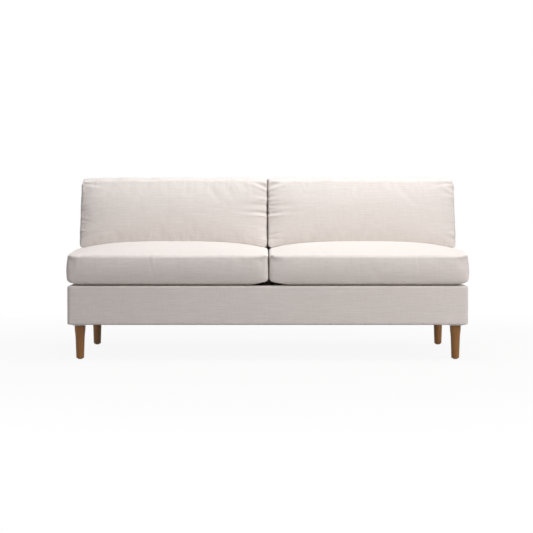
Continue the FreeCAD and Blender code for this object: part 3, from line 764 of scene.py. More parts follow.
backPuckers = {
    "spacing": 11 * mm, "width": (5 * mm, 14 * mm), "reach": (16 * mm, 70 * mm),
    "depth": 0.9 * mm, "slant": 0.3, "atGap": 1.3, "atOuterSide": 1.5, "atTopAndFoot": 0.55,
    "behind": 0.45, "seed": 31,
}
# The folds that show in the photo: height as a share, length, rise per length, depth and width.
# The first group runs from the gap, the second from the outer side.
gapFolds = [
    (0.97, 60 * mm, 0.42, 1.8 * mm, 6 * mm), (0.92, 75 * mm, 0.40, -3.2 * mm, 7 * mm),
    (0.865, 70 * mm, 0.36, 3.8 * mm, 7 * mm), (0.77, 60 * mm, 0.10, -2.0 * mm, 8 * mm),
    (0.72, 70 * mm, 0.03, 2.6 * mm, 8 * mm), (0.64, 100 * mm, -0.08, -4.0 * mm, 9 * mm),
    (0.525, 95 * mm, -0.04, -3.4 * mm, 8 * mm), (0.475, 95 * mm, -0.02, 3.8 * mm, 6 * mm),
    (0.31, 60 * mm, 0.0, -1.8 * mm, 10 * mm),
]
outerFolds = [
    (0.985, 130 * mm, -0.22, -2.4 * mm, 9 * mm), (0.93, 100 * mm, -0.10, 1.8 * mm, 9 * mm),
    (0.80, 60 * mm, 0.06, -1.4 * mm, 11 * mm), (0.56, 55 * mm, 0.02, 1.3 * mm, 10 * mm),
    (0.36, 70 * mm, -0.05, -1.5 * mm, 12 * mm), (0.14, 90 * mm, 0.22, -1.6 * mm, 10 * mm),
]
# Short upright folds at the foot: distance from the middle, length, depth and width.
footFolds = [
    (0.375, 26 * mm, -2.2 * mm, 6 * mm), (0.425, 32 * mm, -2.8 * mm, 7 * mm),
    (0.45, 24 * mm, 1.6 * mm, 6 * mm), (0.478, 30 * mm, -2.6 * mm, 6 * mm),
]


def seatTopAt(tree, x, y):
    # Height of the finished seat cushion under a point.
    hit = tree.ray_cast(Vector((x, y, 2.0)), Vector((0, 0, -1)))[0]
    return hit.z if hit is not None else None


def crestLine(u):
    # Height of the seat's top under the front of the back cushion.
    faceY = seatFrontY + backCushion["seatDepth"]
    return seatCrown(u, (faceY - (seatFrontY + seatRearY) / 2) / ((seatRearY - seatFrontY) / 2))


def backForm(side):
    # A boxed pillow: full face, soft top, side walls that swell, foot on the seat cushion.
    b = backCushion
    inner, outer = b["gap"], b["outerX"]
    footZ = seatCushion["seamHeight"]
    faceY = seatFrontY + b["seatDepth"]
    xs = cuts(*sorted((side * inner, side * outer)), b["pitch"], b["seamSteps"])
    depthNow = seatRearY - faceY
    ys = cuts(0, depthNow, b["pitch"], b["seamSteps"])
    rise = b["topSeamHeight"] - footZ
    zs = cuts(0, rise, b["risePitch"], b["seamSteps"])
    lattice = Lattice(xs, ys, zs)
    rest = lattice.places
    centreX = side * (inner + outer) / 2
    halfX = (outer - inner) / 2
    u = side * (rest[:, 0] - centreX) / halfX
    h = rest[:, 2] / rise
    w = 2 * h - 1
    t = rest[:, 1] / depthNow
    between = fullness(2 * t - 1, 2, 0.8)

    # The foot follows the seat's crown
    foot = crestLine(u) + b["footLift"]
    z = foot + (b["topSeamHeight"] - foot) * h
    z += smoothStep((h - 0.8) / 0.2) * b["topCrown"] * between
    z -= b["topDroop"] * np.abs(u) ** 6 * h
    wave = sum(share * np.sin(rest[:, 0] * turns + side * shift) for turns, shift, share in b["topWaves"])
    z += b["topWave"] * wave * smoothStep((h - 0.7) / 0.3)

    frontSeam = faceY + b["seamBehindFace"] + (z - footZ) * math.tan(math.radians(b["recline"]))
    rearSeam = leaned(seatRearY, z) - b["rearCrown"]
    y = frontSeam + (rearSeam - frontSeam) * t
    # The face turns back early towards the top, and stays full down to the foot
    upright = np.where(w > 0, fullness(w, *b["faceAbove"]), fullness(w, *b["faceBelow"]))
    full = fullness(u, *b["faceAcross"]) * upright
    y = y - np.where(t <= 0, b["faceCrown"] * full, 0) + np.where(t >= 1, b["rearCrown"] * full, 0)

    isOuter = u > 0
    inCorner = b["cornerSwell"] + (1 - b["cornerSwell"]) * smoothStep((1 - np.abs(w)) / 0.25)
    sideInset = np.where(isOuter, b["outerSeamInset"], b["innerSeamInset"]) * (1 - between * inCorner)
    reachX = halfX - sideInset - np.where(isOuter, b["topSlant"] * h, 0)
    x = centreX + (rest[:, 0] - centreX) * reachX / halfX

    # Round the corners of the front view
    topRadius = np.where(isOuter, b["cornerRadius"], b["innerCornerRadius"])
    for radius, fromEnd, up in ((topRadius, (1 - h) * rise, 1), (b["footRadius"], h * rise, -1)):
        a = np.clip((np.abs(x - centreX) - (reachX - radius)) / radius, 0, 1)
        c = np.clip(1 - fromEnd / radius, 0, 1)
        newA = a * np.sqrt(1 - c * c / 2)
        newC = c * np.sqrt(1 - a * a / 2)
        turned = (a > 0) & (c > 0)
        x = np.where(turned, x - np.sign(x - centreX) * (a - newA) * radius, x)
        z = np.where(turned, z - up * (c - newC) * radius, z)
    return lattice, np.column_stack([x, y, z])


seatPieces, backPieces, swelling = {}, {}, []
for sideName, side in sideNames.items():
    lattice, places = seatForm(side)
    seat = meshPiece(sideName + "SeatCushion", places, lattice, upholstery, keepRest=True)
    seatPieces[sideName] = (seat, lattice)
    up = lattice.places[:, 2]
    pinned = (up == lattice.low[2]) | ((up == lattice.high[2]) & lattice.onEnds(0, 1))
    freely = smoothStep((up - seatCushion["freeFrom"]) / seatCushion["freeReach"])
    least, most = seatCushion["travelCapBelow"], seatCushion["travelCap"]
    swelling.append((seat, pinned, least + (most - least) * freely))

    lattice, places = backForm(side)
    back = meshPiece(sideName + "BackCushion", places, lattice, upholstery, keepRest=True)
    backPieces[sideName] = (back, lattice)
    swelling.append((back, lattice.onEnds(1) & lattice.onEnds(0, 2), backCushion["travelCap"]))

print("swelling the cushions")
swell(swelling)


def finishedSeat(sideName, side):
    seat, lattice = seatPieces[sideName]
    subdivided(seat)
    rest = restOf(seat.data)
    edges = seamEdges(lattice, 2)
    amounts = [seatPuckers["atFoot"]] * 4 + [seatPuckers["atTop"]] * 4
    height = puckered(rest, edges, seatPuckers, amounts, side)
    height += seamGroove(rest, edges, seamShape)
    places = placesOf(seat.data) + normalsOf(seat.data) * height[:, None]
    # Clear of the deck, the back and the other cushion
    places[:, 2] = np.maximum(places[:, 2], seatLowZ)
    places[:, 1] = np.minimum(places[:, 1], seatRearY)
    clear = seatCushion["clearOfGap"] + side * seatCushion["gapCentre"]
    places[:, 0] = side * np.maximum(side * places[:, 0], clear)
    setPlaces(seat.data, places)
    body = sideName + "_seat_cushion"
    return installed(seat, body, "upholstery_fabric", body + "_cover", body + "_wrap")


def backFolds(rest, side, rise):
    # The single folds that run from the gap, from the outer side and up from the foot.
    height = np.zeros(len(rest))
    for folds, edgeX in ((gapFolds, side * backCushion["gap"]), (outerFolds, side * backCushion["outerX"])):
        away = np.abs(rest[:, 0] - edgeX) + rest[:, 1]
        for share, length, slope, depth, width in folds:
            across = (rest[:, 2] - share * rise - slope * away) / (width * (0.7 + 0.9 * away / length))
            height += depth * np.exp(-(across ** 2)) * np.exp(-((away / length) ** 2.2))
    away = rest[:, 2] + rest[:, 1]
    for place, length, depth, width in footFolds:
        across = (side * rest[:, 0] - place - 0.1 * away) / width
        height += depth * np.exp(-(across ** 2)) * np.exp(-((away / length) ** 2))
    return height


def finishedBack(sideName, side, seat):
    b = backCushion
    back, lattice = backPieces[sideName]
    subdivided(back)
    rest = restOf(back.data)
    edges = seamEdges(lattice, 1)
    amounts = []
    for _, depthPlace, axis, place, _ in edges:
        sideAmount = backPuckers["atGap" if abs(place) < sofaHalfX / 2 else "atOuterSide"]
        amount = sideAmount if axis == 0 else backPuckers["atTopAndFoot"]
        amounts.append(amount if depthPlace == lattice.low[1] else backPuckers["behind"])
    height = puckered(rest, edges, backPuckers, amounts, side)
    height += backFolds(rest, side, lattice.high[2])
    height += seamGroove(rest, edges, softSeamShape)
    places = placesOf(back.data) + normalsOf(back.data) * height[:, None]
    # The two back cushions press against each other behind the gap
    across = side * places[:, 0]
    fromRear = lattice.high[1] - rest[:, 1]
    deep = smoothStep(rest[:, 1] / b["clearDepth"]) * smoothStep(fromRear / b["rearOpen"])
    clear = b["clearAtSeam"] + (b["clearOfGap"] - b["clearAtSeam"]) * deep
    fromWall = np.abs(rest[:, 0]) - b["gap"]
    pull = deep * (1 - smoothStep(fromWall / b["pressReach"]))
    across += pull * np.minimum(clear + fromWall - across, 0)
    places[:, 0] = side * np.maximum(across, clear)
    # They lean on the back, and stand on the finished seat cushions
    touch = b["touch"] * smoothStep((places[:, 2] - b["touchesBackAbove"]) / b["touchReach"])
    places[:, 1] = np.minimum(places[:, 1], leaned(seatRearY, places[:, 2]) + touch)
    tree = BVHTree.FromObject(seat, bpy.context.evaluated_depsgraph_get())
    for index in np.flatnonzero(places[:, 2] < b["standsBelow"]):
        x, y, z = places[index]
        under = seatTopAt(tree, x, y)
        if under is not None and z < under + b["clearOfSeat"]:
            places[index, 2] = under + b["clearOfSeat"]
    setPlaces(back.data, places)
    body = sideName + "_back_cushion"
    return installed(back, body, "upholstery_fabric", body + "_cover", body + "_fibre_insert")


for sideName, side in sideNames.items():
    seat = finishedSeat(sideName, side)
    finishedBack(sideName, side, seat)
    print(sideName, "cushions done")


# Base and back upholstery: covers pulled over thin padding, rounded at every edge
def roundedBlock(places, low, high, radiusLow, radiusHigh):
    # Pulls a block's edges into round ones; the radii are given at the low and the high end.
    low, high = np.asarray(low, float), np.asarray(high, float)
    radiusLow, radiusHigh = np.asarray(radiusLow, float), np.asarray(radiusHigh, float)
    inner = np.clip(places, low + radiusLow, high - radiusHigh)
    offset = places - inner
    radius = np.where(offset < 0, radiusLow, radiusHigh)
    scaled = offset / radius
    length = np.linalg.norm(scaled, axis=1, keepdims=True)
    return inner + scaled / np.maximum(length, 1e-9) * np.where(length > 0, radius, 0)


def thinPanel(xs, zs, values):
    # A flat upright panel with rounded edges: its lattice and its places.
    lattice = Lattice(xs, np.array([0, 0.5, 1]) * values["thickness"], zs)
    edge = values["edgeRadius"]
    places = roundedBlock(
        lattice.places, lattice.low, lattice.high,
        (edge, values["innerRadius"], edge), (edge, values["outerRadius"], edge),
    )
    return lattice, places


puffShape = (6, 0.8)


def puffed(places, lattice, amount, axes=(0, 1, 2)):
    # Padding swells the flat faces outwards between their edges.
    out = places.copy()
    span = lattice.high - lattice.low
    share = 2 * (lattice.places - lattice.low) / span - 1
    for axis in axes:
        others = [a for a in range(3) if a != axis]
        full = fullness(share[:, others[0]], *puffShape) * fullness(share[:, others[1]], *puffShape)
        on = np.abs(share[:, axis]) >= 0.999
        out[:, axis] += np.where(on, np.sign(share[:, axis]) * amount * full, 0)
    return out


baseUpholstery = {
    "pitch": 18 * mm,
    "edgeSteps": (3 * mm, 3 * mm, 4 * mm, 5 * mm, 6 * mm),
    "proud": 2.2 * mm,
    "sideRadius": 15 * mm,
    "topRadius": 5 * mm,
    "bottomRadius": 6 * mm,
    "puff": 1.5 * mm,
    "hemWidth": 38 * mm,
    "deckStrip": 96 * mm,
    "coverThickness": 1.2 * mm,
    "paddingInset": 1.3 * mm,
    "paddingThickness": 10.5 * mm,
    "fill": 0.9,
}


def baseShell(name, inset, thickness, material):
    # The boxed skin round the base, open over the deck and inside the hem.
    b = baseUpholstery
    low = np.array([-baseOuterX - b["proud"], baseFrontY, hemLow]) + inset
    high = np.array([baseOuterX + b["proud"], baseRearY - b["coverThickness"], deckTop]) - inset
    lattice = blockLattice(low, high, b)
    strip = b["deckStrip"] - inset
    hem = b["hemWidth"] - inset
    middle = lattice.places[lattice.quads].mean(axis=1)

    def within(margin):
        return (
            (middle[:, 0] > low[0] + margin) & (middle[:, 0] < high[0] - margin)
            & (middle[:, 1] > low[1] + margin) & (middle[:, 1] < high[1] - margin)
        )

    lattice.keep(~((lattice.sides == 1) & within(strip)) & ~((lattice.sides == 0) & within(hem)))
    side = b["sideRadius"] - inset
    places = roundedBlock(
        lattice.places, low, high,
        (side, side, b["bottomRadius"] - inset), (side, side, b["topRadius"] - inset),
    )
    places = puffed(places, lattice, b["puff"], (0, 1))
    return thickened(meshPiece(name, places, lattice, material), thickness)


def upholstered(name, shell, values, coverNodes, padNodes):
    # A cover, and the padding that lies just inside it.
    cover = shell(name + "Upholstery", 0.0, values["coverThickness"], upholstery)
    installed(cover, "frame", "upholstery_fabric", *coverNodes)
    padding = shell(
        name + "Padding", values["paddingInset"], values["paddingThickness"], materials["polyester_wadding"]
    )
    installed(padding, "frame", "polyester_wadding", *padNodes)


upholstered(
    "base", baseShell, baseUpholstery,
    ("front_base_cover", "left_base_cover", "right_base_cover"),
    ("front_base_padding", "left_base_padding", "right_base_padding"),
)
print("base upholstered")


backUpholstery = {
    "pitch": 18 * mm,
    "edgeSteps": (3 * mm, 3 * mm, 4 * mm, 5 * mm, 6 * mm),
    "radius": 16 * mm,
    "lowerRadius": 3 * mm,
    "puff": 2.5 * mm,
    "coverThickness": 1.2 * mm,
    "paddingInset": 1.3 * mm,
    "paddingThickness": 11 * mm,
    "fill": 0.9,
}


def backShell(name, inset, thickness, material):
    # The padded back above the deck, leaning by the rake.
    b = backUpholstery
    low = np.array([-baseOuterX + inset, insideBackY + inset, deckTop])
    high = np.array([baseOuterX, baseRearY - b["coverThickness"], backTop]) - inset
    lattice = blockLattice(low, high, b)
    radius = b["radius"] - inset
    places = roundedBlock(
        lattice.places, low, high, (radius, radius, b["lowerRadius"]), (radius, radius, radius)
    )
    places = puffed(places, lattice, b["puff"])
    places[:, 2] = np.clip(places[:, 2], deckTop, backTop - inset)
    places[:, 1] = leaned(places[:, 1], places[:, 2])
    return thickened(meshPiece(name, places, lattice, material), thickness)


upholstered(
    "back", backShell, backUpholstery,
    ("inside_back_cover", "back_side_covers"),
    ("inside_back_pad", "back_side_pads", "outside_back_pad"),
)


outsideBack = {
    "pitch": 16 * mm,
    "edgeSteps": (2.5 * mm, 4 * mm, 6 * mm),
    "edgeInset": 9 * mm,
    "topInset": 10 * mm,
    "hemInset": 1 * mm,
    "thickness": 2.2 * mm,
    "edgeRadius": 1 * mm,
    "innerRadius": 0.2 * mm,
    "outerRadius": 1.9 * mm,
    "puff": 1.2 * mm,
    "puffPower": 8,
}


def outsideBackPanel():
    # One panel from the hem to the top, turned under and sewn blind along its edges.
    o = outsideBack
    half = baseOuterX - o["edgeInset"]
    lattice, places = thinPanel(
        cuts(-half, half, o["pitch"], o["edgeSteps"]),
        cuts(hemLow + o["hemInset"], backTop - o["topInset"], o["pitch"], o["edgeSteps"]), o,
    )
    share = 2 * (lattice.places - lattice.low) / (lattice.high - lattice.low) - 1
    full = fullness(share[:, 0], o["puffPower"]) * fullness(share[:, 2], o["puffPower"])
    behind = baseRearY - o["thickness"] + places[:, 1]
    behind += np.where(share[:, 1] > 0, o["puff"] * full, 0)
    places[:, 1] = leaned(behind, places[:, 2])
    return meshPiece("outsideBackPanel", places, lattice, upholstery)


installed(outsideBackPanel(), "frame", "upholstery_fabric", "outside_back_cover")
print("back upholstered")


# Legs and glides, turned round their own axes
legs = {
    "turnSteps": 64,
    "glideTurnSteps": 40,
    "topRadius": 25 * mm,
    "neckRadius": 21 * mm,
    "footRadius": 18 * mm,
    "collar": 8 * mm,
    "neckDrop": 60 * mm,
    "toe": 4 * mm,
    "topChamfer": 0.6 * mm,
    "glideHeight": 4 * mm,
    "glideRadius": 11 * mm,
    "glideFlat": 6.5 * mm,
    "glideDome": 0.96,
}


def turnedMesh(name, centres, profile, material, turnSteps):
    # A closed lathe shape for each centre; the profile runs from the lower pole to the upper one.
    places, quads = [], []
    ring = np.linspace(0, 2 * math.pi, turnSteps, endpoint=False)
    for centre in centres:
        start = len(places)
        for radius, z in profile[1:-1]:
            for angle in ring:
                places.append(
                    (centre[0] + radius * math.cos(angle), centre[1] + radius * math.sin(angle), z)
                )
        lower = len(places)
        places.append((centre[0], centre[1], profile[0][1]))
        upper = len(places)
        places.append((centre[0], centre[1], profile[-1][1]))
        rows = len(profile) - 2
        for step in range(turnSteps):
            after = (step + 1) % turnSteps
            for row in range(rows - 1):
                a = start + row * turnSteps
                b = a + turnSteps
                quads.append((a + step, a + after, b + after, b + step))
            quads.append((lower, start + after, start + step))
            last = start + (rows - 1) * turnSteps
            quads.append((last + step, last + after, upper))
    return plainPiece(name, places, quads, material)


def legProfile(top):
    # From the middle of the foot up a straight taper, then flaring out to the collar.
    leg = legs
    foot = leg["glideHeight"] + leg["toe"]
    collar, neck = top - leg["collar"], top - leg["neckDrop"]
    points = [(0, leg["glideHeight"])]
    for angle in np.linspace(0, math.pi / 2, 6):
        points.append((
            leg["footRadius"] - leg["toe"] * (1 - math.sin(angle)),
            foot - leg["toe"] * math.cos(angle),
        ))
    taper = (leg["neckRadius"] - leg["footRadius"]) / (neck - foot)
    for z in np.linspace(foot, neck, 8)[1:]:
        points.append((leg["footRadius"] + taper * (z - foot), z))
    bend = (collar - neck) / 3
    poles = [
        (leg["neckRadius"], neck), (leg["neckRadius"] + taper * bend, neck + bend),
        (leg["topRadius"], collar - bend), (leg["topRadius"], collar),
    ]
    for t in np.linspace(0, 1, 12)[1:]:
        weights = [(1 - t) ** 3, 3 * t * (1 - t) ** 2, 3 * t * t * (1 - t), t ** 3]
        points.append(tuple(sum(w * p[i] for w, p in zip(weights, poles)) for i in range(2)))
    points.append((leg["topRadius"], top - leg["topChamfer"]))
    points.append((leg["topRadius"] - leg["topChamfer"], top))
    return points + [(0, top)]


legCentres = {}
for legName in ("front_left_leg", "rear_left_leg", "front_right_leg", "rear_right_leg"):
    low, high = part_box(legName)
    legCentres[legName] = ((low.x + high.x) / 2, (low.y + high.y) / 2)
    words = legName.split("_")
    pieceName = words[0] + "".join(w.capitalize() for w in words[1:])
    leg = turnedMesh(
        pieceName, [legCentres[legName]], legProfile(high.z), materials["leg_wood"], legs["turnSteps"]
    )
    installed(leg, "frame", "leg_wood", legName)

glideProfile = [(0, 0)]
for angle in np.linspace(0, math.pi / 2, 8):
    dome = legs["glideRadius"] - legs["glideFlat"]
    glideProfile.append((
        legs["glideFlat"] + dome * math.sin(angle),
        legs["glideHeight"] * (1 - math.cos(angle)) * legs["glideDome"],
    ))
glideProfile += [(legs["glideRadius"], legs["glideHeight"]), (0, legs["glideHeight"])]
glides = turnedMesh(
    "footGlides", legCentres.values(), glideProfile, materials["glide_nylon"], legs["glideTurnSteps"]
)
installed(glides, "frame", "glide_nylon", "leg_glides")
print("legs turned")


# Repeated small things come from one Geometry Nodes group, and are then baked to plain mesh
def rowGroup():
    # A row of copies of one shape, from a start place by even steps.
    group = bpy.data.node_groups.new("rowOfCopies", "GeometryNodeTree")
    wanted = (
        ("Shape", "NodeSocketObject"), ("Count", "NodeSocketInt"), ("Start", "NodeSocketVector"),
        ("Step", "NodeSocketVector"),
    )
    sockets = {}
    for socketName, kind in wanted:
        made = group.interface.new_socket(name=socketName, in_out="INPUT", socket_type=kind)
        sockets[socketName] = made.identifier
    group.interface.new_socket(name="Geometry", in_out="OUTPUT", socket_type="NodeSocketGeometry")
    given = group.nodes.new("NodeGroupInput").outputs
    line = addNode(
        group, "GeometryNodeMeshLine", {"mode": "OFFSET"},
        {"Count": given["Count"], "Start Location": given["Start"], "Offset": given["Step"]},
    )
    shape = addNode(group, "GeometryNodeObjectInfo", {"As Instance": True}, {"Object": given["Shape"]})
    copies = addNode(
        group, "GeometryNodeInstanceOnPoints", {},
        {"Points": line.outputs["Mesh"], "Instance": shape.outputs["Geometry"]},
    )
    real = addNode(group, "GeometryNodeRealizeInstances", {}, {"Geometry": copies.outputs["Instances"]})
    addNode(group, "NodeGroupOutput", {}, {"Geometry": real.outputs["Geometry"]})
    return group, sockets


rows, rowSockets = rowGroup()


def lozenge(name, lengths, lean, along, sides=6, rings=4):
    # A small closed grain along X or Z, such as one stitch or one turn of a zip's coil.
    turns = np.linspace(0, math.pi, rings + 1)
    profile = list(zip(np.sin(turns) ** 0.6 / 2, -np.cos(turns) / 2))
    piece = turnedMesh(name, [(0, 0)], profile, None, sides)
    places = placesOf(piece.data)
    if along == 0:
        places = places[:, [2, 0, 1]]
    places *= lengths
    places[:, 1] += places[:, 2] * lean
    setPlaces(piece.data, places)
    return piece


def rowOf(shape, count, start, step):
    # The places and faces of one baked row.
    holder = plainPiece("row", [(0, 0, 0)], [])
    modifier = holder.modifiers.new("row", "NODES")
    modifier.node_group = rows
    values = {"Shape": shape, "Count": count, "Start": start, "Step": step}
    for key, value in values.items():
        modifier[rowSockets[key]] = value
    applied(holder)
    places = placesOf(holder.data)
    faces = [tuple(p.vertices) for p in holder.data.polygons]
    bpy.data.objects.remove(holder)
    return places, faces


def rowsPiece(name, rowList, material):
    # Rows, each with its shape, count, start and step, baked as one mesh piece.
    places, faces = [], []
    for row in rowList:
        rowPlaces, rowFaces = rowOf(*row)
        start = sum(len(p) for p in places)
        places.append(rowPlaces)
        faces += [tuple(start + v for v in face) for face in rowFaces]
    for shape in {row[0] for row in rowList}:
        bpy.data.objects.remove(shape)
    return plainPiece(name, np.concatenate(places).tolist(), faces, material)


# Zips: woven tape, an interlocked nylon coil, and a stitch line along each edge of the tape
zips = {
    "thickness": 0.9 * mm,
    "pitchAlong": 12 * mm,
    "pitchAcross": 3 * mm,
    "stepsAlong": (1 * mm, 2 * mm),
    "stepsAcross": (0.8 * mm, 1.5 * mm),
    "edgeRadius": 0.4 * mm,
    "innerRadius": 0.1 * mm,
    "outerRadius": 0.5 * mm,
    "margin": 4 * mm,
    "toothPitch": 3.0 * mm,
    "tooth": (1.3 * mm, 1.7 * mm, 3.6 * mm),
    "toothShift": 1.0 * mm,
    "toothRaise": 0.35 * mm,
    "stitchPitch": 6.0 * mm,
    "stitch": (3.4 * mm, 0.7 * mm, 0.6 * mm),
    "stitchFromEdge": 4 * mm,
}


def zipPieces(node, body, lean):
    low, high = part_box(node)
    middleZ = (low.z + high.z) / 2
    material = materials["zip_nylon"]
    thick = zips["thickness"]

    def onPlane(z):
        return leaned(seatRearY, z) if lean else seatRearY

    lattice, places = thinPanel(
        cuts(low.x, high.x, zips["pitchAlong"], zips["stepsAlong"]),
        cuts(low.z, high.z, zips["pitchAcross"], zips["stepsAcross"]), zips,
    )
    places[:, 1] += onPlane(places[:, 2])
    tape = meshPiece(body + "_zip_tape", places, lattice, material)

    slope = rake if lean else 0.0
    tooth = lozenge("tooth", zips["tooth"], slope, 2, 8, 5)
    stitch = lozenge("stitch", zips["stitch"], slope, 0)
    start, length = low.x + zips["margin"], high.x - low.x - 2 * zips["margin"]
    lines = []
    for sign, shift in ((-1, 0), (1, 0.5)):
        place = (start + shift * zips["toothPitch"], middleZ + sign * zips["toothShift"])
        lines.append((tooth, zips["toothPitch"], *place, thick + zips["toothRaise"]))
    for z in (low.z + zips["stitchFromEdge"], high.z - zips["stitchFromEdge"]):
        lines.append((stitch, zips["stitchPitch"], start, z, thick))
    rowList = []
    for shape, pitch, x, z, raised in lines:
        place = (x, float(onPlane(z)) + raised, z)
        rowList.append((shape, int(length / pitch), place, (pitch, 0, 0)))
    chain = rowsPiece(body + "_zip_chain", rowList, material)
    installed(tape, body, "zip_nylon", node)
    installed(chain, body, "zip_nylon", node)


for sideName in sideNames:
    zipPieces(sideName + "_seat_cushion_zip", sideName + "_seat_cushion", False)
    zipPieces(sideName + "_back_cushion_zip", sideName + "_back_cushion", True)
print("zips done")


# Blind stitches round the outside back, where the panel is sewn on by hand
blindStitches = {
    "pitch": 9 * mm,
    "length": 4.2 * mm,
    "thickness": 0.9 * mm,
    "fromEdge": 0.3 * mm,
    "outside": 0.2 * mm,
    "hemMargin": 10 * mm,
    "deckMargin": 4 * mm,
    "topMargin": 6 * mm,
    "endMargin": 5 * mm,
}


def blindStitchRows():
    # Up both sides of the panel, first upright and then leaning, and along its top.
    b, o = blindStitches, outsideBack
    pitch, thick = b["pitch"], b["thickness"]
    sides = baseOuterX - o["edgeInset"] - b["fromEdge"]
    top = backTop - o["topInset"] - b["fromEdge"]
    y = baseRearY + b["outside"]
    upright = lozenge("upright", (thick, thick, b["length"]), rake, 2)
    level = lozenge("level", (b["length"], thick, thick), 0.0, 0)
    rowList = []
    lowCount = int((deckTop - hemLow - b["hemMargin"] - b["deckMargin"]) / pitch)
    highCount = int((top - deckTop - b["topMargin"]) / pitch)
    for side in (-1, 1):
        rowList.append((upright, lowCount, (side * sides, y, hemLow + b["hemMargin"]), (0, 0, pitch)))
        rowList.append((upright, highCount, (side * sides, y, deckTop), (0, rake * pitch, pitch)))
    count = int((2 * sides - 2 * b["endMargin"]) / pitch)
    start = (-sides + b["endMargin"], float(leaned(y, top)), top)
    rowList.append((level, count, start, (pitch, 0, 0)))
    return rowsPiece("outsideBackStitches", rowList, upholstery)


installed(blindStitchRows(), "frame", "upholstery_fabric", "outside_back_cover")


# Plain sheets: the decking under the seat cushions and the dust cover underneath
sheets = {
    "pitch": 20 * mm,
    "edgeSteps": (1 * mm, 3 * mm),
    "waveCount": 14,
    "waveSpread": 6,
    "waveMean": 0.6,
    "deepest": 2.2,
    "edgeFall": 16,
    "deckWave": 1.2 * mm,
    "deckInset": 16 * mm,
    "deckDrop": 1.35 * mm,
    "deckThickness": 0.9 * mm,
    "underDeck": 0.1 * mm,
    "padThickness": 5.5 * mm,
    "padInset": 18 * mm,
    "dustWave": 0.8 * mm,
    "fill": 0.9,
}


def flatSheet(name, node, wave, seed, material, inset=0.0, drop=0.0, thickness=None):
    # A stretched layer that dips a little between the lines that hold it.
    low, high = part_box(node)
    thickness = thickness or high.z - low.z
    lattice = Lattice(
        cuts(low.x + inset, high.x - inset, sheets["pitch"], sheets["edgeSteps"]),
        cuts(low.y + inset, high.y, sheets["pitch"], sheets["edgeSteps"]),
        [0, thickness],
    )
    places = lattice.places.copy()
    chance = np.random.default_rng(seed)
    whole = np.array([high.x - low.x, high.y - low.y, thickness])
    share = (places - np.array([low.x, low.y, 0])) / whole
    dip = np.zeros(len(places))
    for _ in range(sheets["waveCount"]):
        across, along = chance.uniform(2, 11), chance.uniform(1, 6)
        shift = chance.uniform(0, 6.3, 2)
        acrossWave = np.sin(across * math.pi * share[:, 0] + shift[0])
        alongWave = np.sin(along * math.pi * share[:, 1] + shift[1])
        dip += chance.normal() * acrossWave * alongWave
    # Nothing dips at the edges
    edge = np.clip(sheets["edgeFall"] * share[:, 0] * (1 - share[:, 0]), 0, 1)
    edge *= np.clip(sheets["edgeFall"] * share[:, 1] * (1 - share[:, 1]), 0, 1)
    dip = wave * edge * (dip / sheets["waveSpread"] - sheets["waveMean"])
    places[:, 2] += high.z - drop - thickness + np.clip(dip, -sheets["deepest"] * wave, 0)
    return meshPiece(name, places, lattice, material), lattice.high - lattice.low


# The pad under the decking dips with it, clear of the springs
deckSeed, dustSeed = 5, 9
padDrop = sheets["deckDrop"] + sheets["deckThickness"] + sheets["underDeck"]
deckPad, _ = flatSheet(
    "deckPad", "seat_deck_cloth", sheets["deckWave"], deckSeed, materials["polyester_wadding"],
    sheets["padInset"], padDrop, sheets["padThickness"],
)
installed(deckPad, "frame", "polyester_wadding", "seat_deck_pad")
deck, span = flatSheet(
    "deckCloth", "seat_deck_cloth", sheets["deckWave"], deckSeed, materials["deck_cloth"],
    sheets["deckInset"], sheets["deckDrop"], sheets["deckThickness"],
)
installed(deck, "frame", "deck_cloth", "seat_deck_cloth")
dust, span = flatSheet(
    "dustCover", "dust_cover", sheets["dustWave"], dustSeed, materials["black_underlining"]
)
installed(dust, "frame", "black_underlining", "dust_cover")
print("sheets done")


# Floor, lights and backdrop
studio = {
    "ambient": 0.22,
    "ambientColour": "#FDF3F6",
    "floorHalf": 40,
    "floorColour": "#C4C3C2",
    "floorWhite": 0.92,
    "whiteFrom": 1.2,
    "whiteTo": 3.2,
}
# Each softbox has its place, target, width and height, power and colour
softboxes = {
    "topSoftbox": ((0.3, -0.3, 3.1), (0.0, 0.0, 0.4), (3.6, 2.4), 86, "#FFFFFF"),
    "keySoftbox": ((3.0, -2.6, 1.9), (0.4, 0, 0.45), (1.6, 1.6), 58.5, "#FFF9F7"),
    "fillSoftbox": ((-3.8, -4.2, 1.6), (0, 0, 0.4), (2.4, 2.0), 9.8, "#FFF4F3"),
}


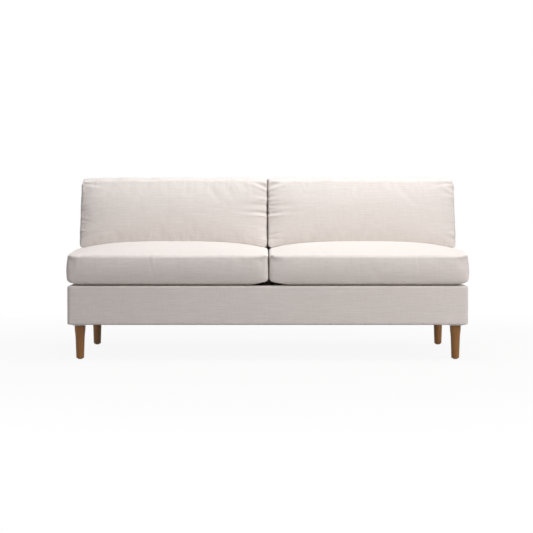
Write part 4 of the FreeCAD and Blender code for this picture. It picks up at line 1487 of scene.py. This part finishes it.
def seenDirectly(tree):
    # 1 for rays from the camera, also through glass or off gloss, and 0 for the light on the sofa.
    rays = addNode(tree, "ShaderNodeLightPath").outputs
    through = combined(tree, "MAXIMUM", rays["Is Glossy Ray"], rays["Is Transmission Ray"])
    return combined(tree, "MAXIMUM", rays["Is Camera Ray"], through)


floorMaterial, tree, source = newMaterial("paleFloor")
away = addNode(tree, "ShaderNodeVectorMath", {"operation": "LENGTH"}, {0: source.outputs["Object"]})
whiter = spread(
    tree, away.outputs["Value"], studio["whiteFrom"], studio["whiteTo"], studio["floorWhite"], 1.0
)
whiteness = combined(tree, "MULTIPLY", seenDirectly(tree), whiter)
paint = addNode(tree, "ShaderNodeBsdfDiffuse", {"Color": hexColour(studio["floorColour"])})
white = addNode(tree, "ShaderNodeEmission", {"Color": (1, 1, 1, 1), "Strength": 1.0})
mixed = addNode(tree, "ShaderNodeMixShader", {}, {0: whiteness, 1: paint.outputs[0], 2: white.outputs[0]})
addNode(tree, "ShaderNodeOutputMaterial", {}, {"Surface": mixed.outputs[0]})
half = studio["floorHalf"]
corners = [(-half, -half, 0), (half, -half, 0), (half, half, 0), (-half, half, 0)]
plainPiece("floor", corners, [(0, 1, 2, 3)], floorMaterial)

world = bpy.data.worlds.new("studio")
bpy.context.scene.world = world
world.use_nodes = True
tree = world.node_tree
tree.nodes.clear()
ambient = addNode(
    tree, "ShaderNodeBackground", {"Color": hexColour(studio["ambientColour"]), "Strength": studio["ambient"]}
)
backdrop = addNode(tree, "ShaderNodeBackground", {"Color": (1, 1, 1, 1), "Strength": 1.0})
mixed = addNode(
    tree, "ShaderNodeMixShader", {}, {0: seenDirectly(tree), 1: ambient.outputs[0], 2: backdrop.outputs[0]}
)
addNode(tree, "ShaderNodeOutputWorld", {}, {"Surface": mixed.outputs[0]})

for name, (place, target, size, power, colour) in softboxes.items():
    light = bpy.data.lights.new(name, "AREA")
    light.shape = "RECTANGLE"
    light.size, light.size_y = size
    light.energy = power
    light.color = hexColour(colour)[:3]
    lamp = placed(name, light)
    lamp.location = place
    lamp.rotation_euler = (Vector(target) - Vector(place)).to_track_quat("-Z", "Y").to_euler()
print("studio lit")
